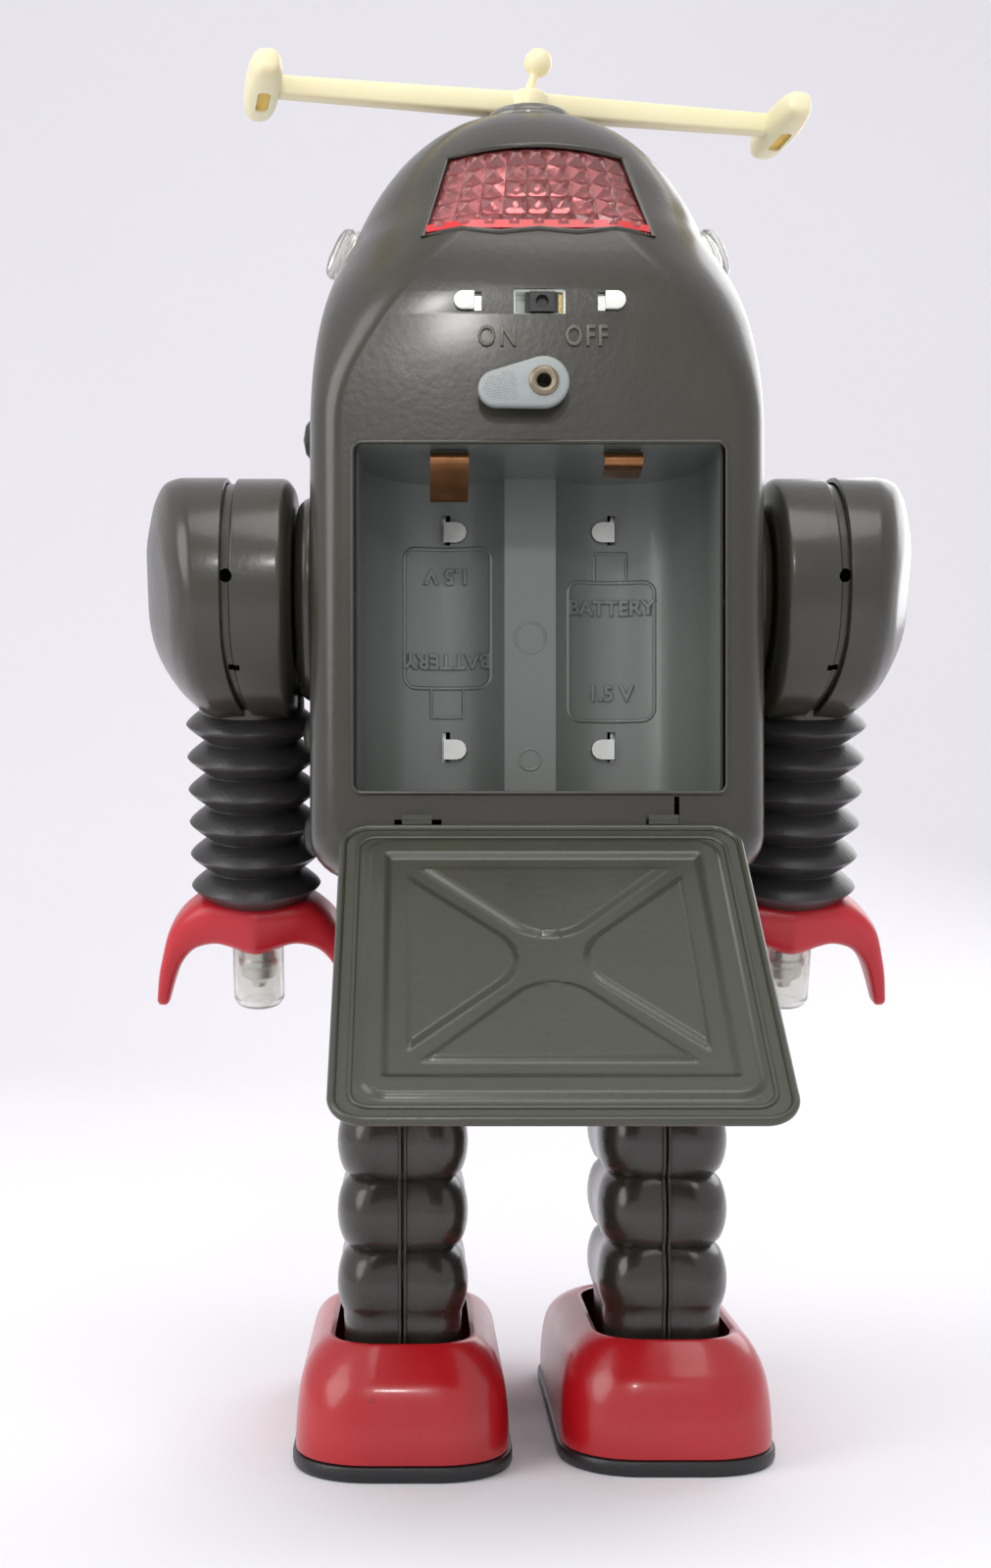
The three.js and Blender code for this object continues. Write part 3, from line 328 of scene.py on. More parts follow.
def tool(verts, faces, place=keep):
    return piece("tool", verts, faces, None, place=place)


def sweep(path, radius, closed=True, flat=1.0, steps=10):
    """A bead of round section along a path of points; flat squeezes it along y."""
    count = len(path)
    rings = []
    for i, p in enumerate(path):
        before = path[(i - 1) % count] if closed or i else path[0]
        after = path[(i + 1) % count] if closed or i + 1 < count else path[-1]
        along = (Vector(after) - Vector(before)).normalized()
        out = Vector((0, 1, 0))
        side = along.cross(out).normalized()
        rings.append([tuple(Vector(p) + side * radius * math.cos(a) + out * radius * flat * math.sin(a))
                      for a in (2 * math.pi * k / steps for k in range(steps))])
    return ring_of_rings(rings) if closed else loft(rings)


def spline(points, steps):
    """A smooth curve through points, as tuples of any length."""
    out = []
    for i in range(len(points) - 1):
        p0 = points[max(i - 1, 0)]
        p1, p2 = points[i], points[i + 1]
        p3 = points[min(i + 2, len(points) - 1)]
        for k in range(steps):
            t = k / steps
            out.append(tuple(
                0.5 * (2 * b + (c - a) * t + (2 * a - 5 * b + 4 * c - d) * t * t
                       + (3 * b - a - 3 * c + d) * t ** 3)
                for a, b, c, d in zip(p0, p1, p2, p3)))
    out.append(tuple(points[-1]))
    return out


def lettering(name, text, size, x, z, finish, surface, height, slot=None, turn=0.0, spread=1.0, narrow=1.0):
    """Raised letters whose backs follow a surface y = surface(x, z), read from behind the robot."""
    curve = bpy.data.curves.new(name, "FONT")
    curve.body = text
    curve.align_x = "CENTER"
    curve.align_y = "CENTER"
    curve.size = size
    curve.extrude = height
    curve.bevel_depth = height * 0.35
    curve.space_character = spread
    curve.resolution_u = 3
    draft = bpy.data.objects.new(name + "_draft", curve)
    bpy.context.collection.objects.link(draft)
    bpy.context.view_layer.update()
    mesh = draft.to_mesh()
    verts = []
    for v in mesh.vertices:
        across = v.co.x * narrow
        dx = v.co.y * math.sin(turn) - across * math.cos(turn)
        dz = v.co.y * math.cos(turn) + across * math.sin(turn)
        verts.append((x + dx, surface(x + dx, z + dz) + v.co.z, z + dz))
    faces = [tuple(p.vertices) for p in mesh.polygons]
    bpy.data.objects.remove(draft)
    return piece(name, verts, faces, finish, slot=slot)


# ---------------------------------------------------------------- torso surface

HALF_WIDTH, BOTTOM, TOP = 44.8, 116.0, 277.8
FOOT_ROUND = 9  # radius of the lower edge
ARCH_START, ARCH_POWER = 202, 2.3  # above the start the sides draw in
DOME_START = 225  # above it the front and back draw in
FLAT_HALF, FLAT_START, FLAT_HEIGHT = 38, 205, 48  # the flat back and where it narrows to nothing
TIN = 0.8
DIAL_Z = 166


def section(z, inset=0.0):
    """The torso's horizontal section at z: its half-sizes, flat back and corner."""
    arch = clamp((z - ARCH_START) / (TOP - ARCH_START - inset))
    dome = clamp((z - DOME_START) / (TOP - DOME_START - inset))
    flat = clamp((z - FLAT_START) / FLAT_HEIGHT)
    low = max(0.0, FOOT_ROUND - (z - BOTTOM))
    foot = FOOT_ROUND - math.sqrt(FOOT_ROUND ** 2 - low * low)
    width = (HALF_WIDTH - inset) * (1 - arch ** ARCH_POWER) ** (1 / ARCH_POWER) - foot
    depth = (REAR - inset) * math.sqrt(1 - dome * dome) - foot
    straight = max(0.2, min(FLAT_HALF * (1 - flat ** 1.7) - foot, width - 0.2))
    corner = min(lerp(10, REAR, flat * flat), depth - 0.2)
    crease = smooth(0.05, 0.4, flat) * (1 - smooth(238, 254, z))
    return max(width, 0.4), max(depth, 0.4), straight, max(corner, 0.1), lerp(2, 1.5, crease)


def surface_y(x, z, inset=0.0):
    width, depth, straight, corner, power = section(z, inset)
    u = clamp((abs(x) - straight) / max(width - straight, 1e-6))
    return depth - corner + corner * (1 - u ** power) ** (1 / (power * 0.5 + 1))


def torso_ring(z, inset, steps=14):
    width, depth, straight, corner, power = section(z, inset)
    quarter = []
    for i in range(steps + 1):
        a = math.pi / 2 * i / steps
        u = math.cos(a) ** (2 / power)
        y = depth - corner + corner * (1 - u ** power) ** (1 / (power * 0.5 + 1))
        quarter.append((straight + (width - straight) * u, y))
    ring = [(x, y, z) for x, y in quarter]
    ring += [(-x, y, z) for x, y in reversed(quarter)]
    ring += [(-x, -y, z) for x, y in quarter]
    ring += [(x, -y, z) for x, y in reversed(quarter)]
    return ring


def torso_solid(inset, below=0.0):
    levels = [BOTTOM + 9 * (1 - math.cos(math.pi / 2 * k / 8)) for k in range(9)]
    levels += [135, 160, 185, 200] + [205 + k * 2.2 for k in range(32)]
    levels += [TOP - 4.3, TOP - 3, TOP - 1.9, TOP - 1.0, TOP - 0.4]
    rings = [torso_ring(z, inset) for z in sorted(set(levels)) if z < TOP - inset - 0.15]
    if below:
        rings.insert(0, [(x, y, z - below) for x, y, z in rings[0]])
    return loft(rings)


BAY = dict(half=35.9, low=132.8, high=200.0)
BAY_RIM = rectangle(BAY["half"], (BAY["high"] - BAY["low"]) / 2, 1.6, 0, (BAY["high"] + BAY["low"]) / 2, 4)


def window(shrink=0.0, steps=12):
    """The lens window's outline in x and z: its lower edge sags in the middle."""
    points = []
    for k in range(steps + 1):
        t = k / steps
        x = lerp(-22.3 + shrink, 22.3 - shrink, t)
        points.append((x, 241.6 + shrink + 1.6 * math.sin(math.pi * 3 * t) ** 2 * 0.5))
    for k in range(steps + 1):
        t = k / steps
        x = lerp(17.4 - shrink, -17.4 + shrink, t)
        points.append((x, 260.5 - shrink + 1.1 * math.sin(math.pi * t)))
    return points


LAMP_AXIS = Vector((0.9, 0.08, 0.42)).normalized()


def lamp_place(side):
    turn = Vector((0, 0, 1)).rotation_difference(Vector((side * LAMP_AXIS.x, LAMP_AXIS.y, LAMP_AXIS.z)))
    return lambda v: turn @ v + Vector((side * 35.8, -1, 248.2))


def lamp_bores():
    bore = [(0, -4), (6.1, -4), (6.1, 12), (0, 12)]
    return [tool(*lathe(bore, steps=40), lamp_place(side)) for side in (1, -1)]


def torso():
    def shell(name, stands_for, low_y, high_y, cutters):
        obj = piece(name, *torso_solid(0), "olive", stands_for=(stands_for,))
        inside, other_half = tool(*torso_solid(TIN, 5)), tool(*box(-90, 90, low_y, high_y, 0, 400))
        carve(obj, inside, other_half, *cutters, sharp=30)
        return obj

    rear = [
        tool(*prism_y(BAY_RIM, REAR - 4, REAR + 4)),
        tool(*prism_y(window(), 5, REAR + 5)),
        tool(*box(-5.0, 5.0, REAR - 4, REAR + 4, 224.9, 229.9)),
    ]
    for side in (1, -1):
        near, far = sorted((side * 11.2, side * 15.0))
        rear.append(tool(*box(near, far, REAR - 4, REAR + 4, 225.5, 229.3)))
        near, far = (18.9, 28.0) if side > 0 else (-26.8, -20.5)
        rear.append(tool(*box(near, far, REAR - 4, REAR + 4, 125.6, 127.5)))
    rear.append(tool(*box(-26.9, -25.9, REAR - 4, REAR + 4, 127, 131.9)))
    shell("torso_back", "rear_shell", -90, 0.15, rear + lamp_bores())
    front = [
        tool(*prism_y(window(), -REAR - 5, -5)),
        tool(*prism_y(rectangle(17, 5, 2, 0, 222), -REAR - 5, -REAR + 4)),
        tool(*lathe([(0, -REAR - 5), (13, -REAR - 5), (13, -REAR + 5), (0, -REAR + 5)], "Y"),
             lambda v: v + Vector((0, 0, DIAL_Z))),
    ]
    shell("torso_front", "front_shell", -0.15, 90, front + lamp_bores())

    bead = [(x, REAR + 0.15, z) for x, z in rectangle(36.1, 33.8, 1.8, 0, 166.4, 5)]
    piece("bay_bead", *sweep(bead, 0.42, flat=0.9), "olive")
    lip = [(x, surface_y(x, z) + 0.05, z) for x, z in window(-0.25)]
    piece("window_lip", *sweep(lip, 0.5, flat=0.7), "olive")


def faceted_lens(name, side, stands_for):
    """The red lens: a curved plate under a grid of pyramids."""
    columns, rows = 9, 5
    verts, faces = [], []

    def point(u, v, lift):
        half = lerp(22.0, 17.1, v)
        x = lerp(-half, half, u)
        z = lerp(241.9, 260.3, v) + math.sin(math.pi * u) * 0.9 * v
        return x, side * (surface_y(x, z) + lift), z

    for j in range(rows + 1):
        for i in range(columns + 1):
            verts.append(point(i / columns, j / rows, -0.9))
    for j in range(rows):
        for i in range(columns):
            a = j * (columns + 1) + i
            b, c, d = a + 1, a + columns + 2, a + columns + 1
            verts.append(point((i + 0.5) / columns, (j + 0.5) / rows, 1.1))
            top = len(verts) - 1
            faces += [(a, b, top), (b, c, top), (c, d, top), (d, a, top)]
    back = len(verts)
    for j in range(rows + 1):
        for i in range(columns + 1):
            verts.append(point(i / columns, j / rows, -2.2))
    for j in range(rows):
        for i in range(columns):
            a = back + j * (columns + 1) + i
            faces.append((a, a + columns + 1, a + columns + 2, a + 1))
    edge = [i for i in range(columns)]
    edge += [columns + j * (columns + 1) for j in range(rows)]
    edge += [rows * (columns + 1) + columns - i for i in range(columns)]
    edge += [(rows - j) * (columns + 1) for j in range(rows)]
    for k, a in enumerate(edge):
        b = edge[(k + 1) % len(edge)]
        faces.append((a, back + a, back + b, b))
    return piece(name, verts, faces, "red_lens", stands_for=(stands_for,), sharp=5)


def head():
    faceted_lens("lens_facets_rear", 1, "rear_lens")
    faceted_lens("lens_facets_front", -1, "front_visor")
    strip = []
    for k in range(25):
        x = lerp(-21.8, 21.8, k / 24)
        low, high = 242.2, 243.9
        strip.append([(x, surface_y(x, low) - 0.5, low), (x, surface_y(x, high) - 0.5, high),
                      (x, surface_y(x, high) + 0.25, high), (x, surface_y(x, low) + 0.25, low)])
    piece("lens_foot", *loft(strip), "lens_foot", slot="red_lens")
    cap = rounded([(0, 275.4), (10.2, 275.0), (10.3, 276.6), (9.3, 278.2), (5.5, 278.7), (1.9, 278.8),
                   (1.9, 278.0), (9, 276.6), (9.2, 275.9), (0, 276.0)], 0.6, 4)
    piece("crown_dome", *lathe(cap, steps=64), "crown", stands_for=("crown_cap",), slot="clear_lens")
    glass = rounded([(0, 4.8), (4.1, 4.7), (4.9, 3.8), (4.9, -1.4), (5.75, -1.4), (5.8, 1.0), (5.5, 1.5),
                     (5.8, 2.0), (5.8, 3.2), (5.4, 3.7), (5.6, 4.3), (5.0, 5.8), (2.8, 6.4),
                     (0, 6.5)], 0.8, 5)
    for side, hand in ((1, "left"), (-1, "right")):
        piece(f"side_lamp_{hand}", *lathe(glass, steps=48), "clear_lens", place=lamp_place(side),
              stands_for=(f"side_lens_{hand}",))
        bezel = rounded([(3.2, -1.0), (3.2, 2.6), (3.7, 3.2), (4.4, 2.6), (4.4, -1.0), (3.2, -1.0)], 0.3, 3)
        piece(f"side_lamp_seat_{hand}", *lathe(bezel, steps=40), "steel", place=lamp_place(side))


def side_discs():
    """Domed discs in the left side of the body, beside the bellows."""
    dome = rounded([(0, 47.4), (3.2, 46.7), (4.5, 45.4), (4.4, 44.9), (0, 44.7)], 0.5, 4)
    for where, z in (("low", 125.8), ("middle", 146.5)):
        piece(f"side_disc_{where}", *lathe(dome, "X", 40), "black_plastic",
              place=lambda v, z=z: v + Vector((0, 8.5, z)))


def back_fittings():
    flat = lambda x, z: surface_y(x, z) + 0.05
    # The ON/OFF letters take the lighter enamel: painted highlight on their raised edges.
    lettering("word_on", "ON", 5.6, 8.2, 220.4, "wear_and_painted_highlight", flat, 0.34, "olive", spread=1.3, narrow=0.78)
    lettering("word_off", "OFF", 5.6, -9.0, 220.4, "wear_and_painted_highlight", flat, 0.34, "olive", spread=1.2, narrow=0.75)

    pivot = joint_point("latch_turn")
    tilt = math.radians(8)

    def latch_place(v):
        x, z = v.x, v.z
        return Vector((pivot.x + x * math.cos(tilt) + z * math.sin(tilt), v.y,
                       pivot.z - x * math.sin(tilt) + z * math.cos(tilt)))

    big, small, reach = 4.9, 3.5, 9.1
    lean = math.asin((big - small) / reach)

    def paddle(shrink, steps=18):
        out = []
        for k in range(steps + 1):
            a = lerp(-math.pi / 2 + lean, math.pi / 2 - lean, k / steps)
            out.append((reach + (small - shrink) * math.cos(a), (small - shrink) * math.sin(a)))
        for k in range(steps + 1):
            a = lerp(math.pi / 2 - lean, 1.5 * math.pi + lean, k / steps)
            out.append(((big - shrink) * math.cos(a), (big - shrink) * math.sin(a)))
        return out

    layers = [(0.35, 2.8), (0, 3.1), (0, 4.3), (0.25, 4.75), (0.7, 4.9)]
    lever = piece("latch_paddle", *loft([[(x, REAR + y, z) for x, z in paddle(s)] for s, y in layers]),
                  "grey_plastic", "latch", latch_place, ("latch_lever",), sharp=50)
    bore = [(0, REAR), (2.3, REAR), (2.3, REAR + 8), (0, REAR + 8)]
    carve(lever, tool(*lathe(bore, "Y"), latch_place), sharp=50)
    verts, faces = [], []
    for i in range(-5, 7):
        for j in range(-6, 7):
            x, z = reach - 0.6 + i * 0.62 + (j % 2) * 0.31, j * 0.52
            limit = lerp(big, small, clamp(x / reach)) - 1.1
            if x < 4.9 or abs(z) > limit or (x > reach and math.hypot(x - reach, z) > small - 1):
                continue
            a = len(verts)
            verts += [(x - 0.24, REAR + 4.85, z), (x, REAR + 4.85, z - 0.2), (x + 0.24, REAR + 4.85, z),
                      (x, REAR + 4.85, z + 0.2), (x, REAR + 5.1, z)]
            faces += [(a, a + 1, a + 4), (a + 1, a + 2, a + 4), (a + 2, a + 3, a + 4), (a + 3, a, a + 4)]
    piece("latch_knurl", verts, faces, "grey_plastic", "latch", latch_place, sharp=10)

    profile = [(1.25, -2), (1.25, 5.0), (1.5, 5.5), (2.3, 5.6), (2.85, 5.2), (2.85, 4.95), (2.0, 4.9),
               (2.0, 2.6), (3.6, 2.5), (3.6, 0.2), (2.0, 0.1), (2.0, -2), (1.25, -2)]
    eyelet = rounded([(radius, REAR + y) for radius, y in profile], 0.25, 3)
    piece("latch_eyelet", *lathe(eyelet, "Y", 40), "eyelet",
          place=lambda v: v + Vector((pivot.x, 0, pivot.z)), stands_for=("latch_rivet",), slot="brass")

    # The switch: a bright frame sunk behind its slot, a brass leaf in it, and two folded tabs.
    z = 227.4
    sink = piece("switch_frame", *box(-6.2, 6.2, REAR - 4.5, REAR - 0.95, z - 3.4, z + 3.4), "bright",
                 slot="steel")
    carve(sink, tool(*box(-4.6, 4.6, REAR - 3.6, REAR + 1, z - 2.1, z + 2.1)))
    bevel(sink, 0.15, 2)
    piece("switch_leaf", *box(-4.5, -3.4, REAR - 2.6, REAR - 1.8, z - 1.9, z + 1.9), "brass")
    for side, hand in ((1, "left"), (-1, "right")):
        fold = [(side * 12.6, z - 1.75)]
        fold += [(side * (14.8 + 1.75 * math.cos(a)), z + 1.75 * math.sin(a))
                 for a in (math.radians(-90 + 15 * k) for k in range(13))]
        fold.append((side * 12.6, z + 1.75))
        tab = piece(f"switch_tab_{hand}", *prism_y(fold, REAR + 0.1, REAR + 0.95), "bright", slot="steel")
        bevel(tab, 0.2, 3)


# ---------------------------------------------------------------- battery bay

TROUGH_X, TROUGH_Y, TROUGH_R, LAND = 17.5, 20.2, 17.4, 5.35


def trough_y(x, z=0.0):
    off = abs(abs(x) - TROUGH_X)
    if abs(x) < LAND:
        off = TROUGH_X - LAND
    return TROUGH_Y - math.sqrt(max(TROUGH_R ** 2 - off * off, 0))


def battery_tray():
    inner = [(TROUGH_X + TROUGH_R, REAR - 1)]
    end = -math.pi + math.acos((TROUGH_X - LAND) / TROUGH_R)
    inner += [(TROUGH_X + TROUGH_R * math.cos(a), TROUGH_Y + TROUGH_R * math.sin(a))
              for a in (lerp(0, end, k / 40) for k in range(41))]
    inner += [(-x, y) for x, y in reversed(inner)]
    outer = [(x * 1.02, y - 0.7) for x, y in inner]
    outline = inner + outer[::-1]
    obj = piece("tray_troughs", *loft([[(x, y, z) for x, y in outline] for z in (BAY["low"], BAY["high"])]),
                "grey_enamel", stands_for=("battery_tray",), sharp=30)
    for name, z0, z1 in (("top", BAY["high"], BAY["high"] + 0.7), ("base", BAY["low"] - 0.7, BAY["low"])):
        piece(f"tray_end_{name}", *loft([[(x, y, z) for x, y in inner] for z in (z0, z1)]), "grey_enamel")
    slits = []
    for side in (1, -1):
        for z in (143.9, 189.7):
            near, far = sorted((side * 16.6, side * 18.3))
            slits.append(tool(*box(near, far, -2, 6, z - 2.5, z + 3.8)))
    carve(obj, *slits, sharp=30)

    def raised(name, outline_points, radius=0.46):
        dense = []
        for i, (x, z) in enumerate(outline_points):
            nx, nz = outline_points[(i + 1) % len(outline_points)]
            parts = max(1, int(math.hypot(nx - x, nz - z) / 1.2))
            dense += [(lerp(x, nx, k / parts), lerp(z, nz, k / parts)) for k in range(parts)]
        path = [(x, trough_y(x) + 0.02, z) for x, z in dense]
        piece(name, *sweep(path, radius, flat=0.8), "grey_enamel")

    for side, low, high in ((1, 156.9, 186.3), (-1, 150.0, 179.2)):
        hand = "left" if side > 0 else "right"
        x, mid = side * 17.2, (low + high) / 2
        raised(f"cell_mark_{hand}", rectangle(9.1, (high - low) / 2, 2.4, x, mid, 5))
        # The cells lie head to tail, so the left mark is the right one turned half round.
        end, tip = (low, low - 6.2) if side > 0 else (high, high + 6.2)
        nub = [(x - 3.4, end), (x - 3.4, tip), (x + 3.4, tip), (x + 3.4, end)]
        raised(f"cell_nub_{hand}", nub, 0.36)
        turn = math.pi if side > 0 else 0.0
        lettering(f"cell_word_{hand}", "BATTERY", 4.3, x, mid - side * 9, "grey_enamel", trough_y, 0.5,
                  turn=turn, spread=1.02)
        lettering(f"cell_volts_{hand}", "1.5 V", 4.5, x, mid + side * 9, "grey_enamel", trough_y, 0.5,
                  turn=turn)
    land = trough_y(0)
    for name, z, r in (("land_mark_upper", 167.0, 3.2), ("land_mark_lower", 141.5, 2.2)):
        angles = [math.pi * k / 20 for k in range(40)]
        circle = [(r * math.cos(a), land + 0.02, z + r * math.sin(a)) for a in angles]
        piece(name, *sweep(circle, 0.28, flat=0.6), "grey_enamel")

    # Sprung leaves under the bay's top wall.
    leaves = (("leaf_left", "contact_left", 17.3, 191.0), ("leaf_right", "contact_right", -16.6, 195.7))
    half = 3.75
    for name, node, x, end in leaves:
        bend = spline([(30, 199.6), (33.2, 199.3), (34.2, 197.8), (33.4, 196.4),
                       (30.6, lerp(196.2, end, 0.5)), (27.6, end)], 6)
        rings = [[(x - half, y, z), (x - half, y - 0.35, z - 0.1), (x + half, y - 0.35, z - 0.1),
                  (x + half, y, z)] for y, z in bend]
        piece(name, *loft(rings), "copper", stands_for=(node,))


# ---------------------------------------------------------------- battery door

DOOR_OPEN = 130  # degrees


def battery_door():
    pivot = joint_point("door_hinge")
    swing = Matrix.Rotation(math.radians(-DOOR_OPEN), 3, "X")

    def door_place(v):
        return swing @ v + pivot

    half, length = 38.3, 78.0
    mid = length / 2 - 0.4
    field_mid = mid - 0.4

    def triangle(u, w):
        """How far (u, w) lies inside one raised field: a triangle with a blunt apex near the middle."""
        long_side = math.hypot(23.3, 22.8)
        first = ((u - 2) * 22.8 - w * 23.3) / long_side
        second = ((u - 2) * 22.8 + w * 23.3) / long_side
        blunt = 9.5
        if first < blunt and second < blunt:
            return min(25.3 - u, blunt - math.hypot(blunt - first, blunt - second))
        return min(25.3 - u, first, second)

    def relief(x, z):
        """Depth of the pressing below the door's hem, seen from inside the bay."""
        u, w = abs(x), abs(z - field_mid)
        frame_edge = min(33.1 - u, 33.8 - w)
        corner = 4.6
        if 33.1 - u < corner and 33.8 - w < corner:
            frame_edge = corner - math.hypot(corner - (33.1 - u), corner - (33.8 - w))
        inner_edge = min(29.0 - u, 29.0 - w)
        band = smooth(-0.5, 0.8, frame_edge) * 0.75
        band -= smooth(-0.7, 0.7, inner_edge) * 0.75
        zz = z - field_mid
        fields = max(triangle(u, zz), triangle(abs(zz), x))
        return band + smooth(-0.3, 0.9, fields) * 0.8

    nx, nz = 180, 184
    sheet = 0.7
    verts, faces = [], []
    for layer in (0, 1):
        for j in range(nz + 1):
            for i in range(nx + 1):
                x = lerp(-half - 0.5, half + 0.5, i / nx)
                z = mid + lerp(-length / 2 - 0.5, length / 2 + 0.5, j / nz)
                y = 0.1 - relief(x, z)
                verts.append((x, y + layer * sheet, z))
    count = (nx + 1) * (nz + 1)
    for j in range(nz):
        for i in range(nx):
            a = j * (nx + 1) + i
            quad = (a, a + 1, a + nx + 2, a + nx + 1)
            faces += [quad, tuple(k + count for k in reversed(quad))]
    edge = [i for i in range(nx)] + [nx + j * (nx + 1) for j in range(nz)]
    edge += [nz * (nx + 1) + nx - i for i in range(nx)] + [(nz - j) * (nx + 1) for j in range(nz)]
    for k, a in enumerate(edge):
        b = edge[(k + 1) % len(edge)]
        faces.append((a, a + count, b + count, b))
    panel = piece("door_panel", verts, faces, "door", "door", door_place, ("battery_door",), slot="olive",
                  sharp=30)
    trim = tool(*prism_y(rectangle(half - 0.4, length / 2 - 0.4, 5.6, 0, mid, 10), -5, 5), door_place)
    carve(panel, trim, how="INTERSECT", sharp=30)

    hem = [(x, 0.3, z) for x, z in rectangle(half - 0.75, length / 2 - 0.75, 5.2, 0, mid, 12)]
    piece("door_hem", *sweep(hem, 0.75, flat=1.25, steps=14), "door", "door", door_place, slot="olive")
    step = [(x, -0.02, z) for x, z in rectangle(half - 3.6, length / 2 - 3.6, 3.6, 0, mid, 10)]
    piece("door_step", *sweep(step, 0.45, flat=0.5), "door", "door", door_place, slot="olive")

    # Two hooks of the door's sheet reach up and into the slots of the body.
    for side, hand in ((1, "left"), (-1, "right")):
        hook = spline([(0.5, 1.6), (0.2, 0.4), (-0.6, -0.7), (-1.9, -0.9)], 6)
        rings = []
        for y, z in hook:
            x0, x1 = side * 20.8, side * 26.5
            rings.append([(x0, y, z), (x1, y, z), (x1, y + 0.2, z + 0.7), (x0, y + 0.2, z + 0.7)])
        piece(f"door_hook_{hand}", *loft(rings), "door", "door", lambda v: v + pivot, slot="olive")


# ---------------------------------------------------------------- antenna

REACH = 56.5  # from the antenna's axis to the middle of a pod
ANTENNA_TURN = 10  # degrees


def antenna():
    turn = Matrix.Rotation(math.radians(ANTENNA_TURN), 3, "Z")
    z = 281.3

    def place(v):
        return turn @ v

    rings = []
    for k in range(49):
        x = lerp(-REACH, REACH, k / 48)
        wide = lerp(1.75, 2.3, (1 - abs(x) / REACH) ** 2)
        tall = lerp(2.1, 2.5, 1 - abs(x) / REACH)
        ring = []
        for i in range(16):
            a = 2 * math.pi * i / 16
            c, s = math.cos(a), math.sin(a)
            ring.append((x, wide * math.copysign(abs(c) ** 0.35, c),
                         z + tall * math.copysign(abs(s) ** 0.35, s)))
        rings.append(ring)
    piece("antenna_beam", *loft(rings), "cream_plastic", "antenna", place, ("antenna_bar",), sharp=50)
    hub = rounded([(0, z - 2.3), (4.3, z - 2.3), (4.3, z + 1.9), (3.3, z + 2.6), (0, z + 2.6)], 0.6, 4)
    piece("antenna_hub", *lathe(hub, steps=48), "cream_plastic", "antenna")
    for side, hand in ((1, "left"), (-1, "right")):
        rings = []
        for k in range(1, 36):
            t = math.pi * k / 36
            y = -12.6 * math.cos(t)
            grow = math.sin(t) ** 0.42
            ring = []
            for i in range(28):
                a = 2 * math.pi * i / 28
                c, s = math.cos(a), math.sin(a)
                ring.append((side * REACH + 3.7 * grow * math.copysign(abs(c) ** 0.75, c), y,
                             z + 3.7 * grow * math.copysign(abs(s) ** 0.75, s)))
            rings.append(ring)
        pod = piece(f"antenna_pod_{hand}", *loft(rings), "cream_plastic", "antenna", place)
        slot = rectangle(1.3, 4.6, 1.2, 0, 0, 6)
        verts, faces = loft([[(side * REACH + a, b, h) for a, b in slot] for h in (z - 6, z - 2.4)])
        carve(pod, tool(verts, faces, place), sharp=40)
        inlay = [(side * REACH + a * 0.96, b * 0.96) for a, b in slot]
        verts, faces = loft([[(a, b, h) for a, b in inlay] for h in (z - 2.9, z - 2.2)])
        piece(f"antenna_inlay_{hand}", verts, faces, "amber", "antenna", place, slot="cream_plastic")
    lean = Matrix.Rotation(math.radians(-17), 3, "Y")
    pin = [(0, 0), (1.25, 0), (1.05, 2.0), (0.95, 4.2)]
    ball = [math.radians(22 + 158 * k / 16) for k in range(17)]
    pin += [(2.95 * math.sin(a), 7.4 - 2.95 * math.cos(a)) for a in ball]
    pin[-1] = (0, pin[-1][1])
    piece("antenna_ball", *lathe(pin, steps=40), "cream_plastic", "antenna",
          lambda v: lean @ v + Vector((0, 0, z + 2.2)), ("antenna_pin",))


# ---------------------------------------------------------------- arms

ARM_X = 59.4
ARM_HANG = 17  # degrees forward


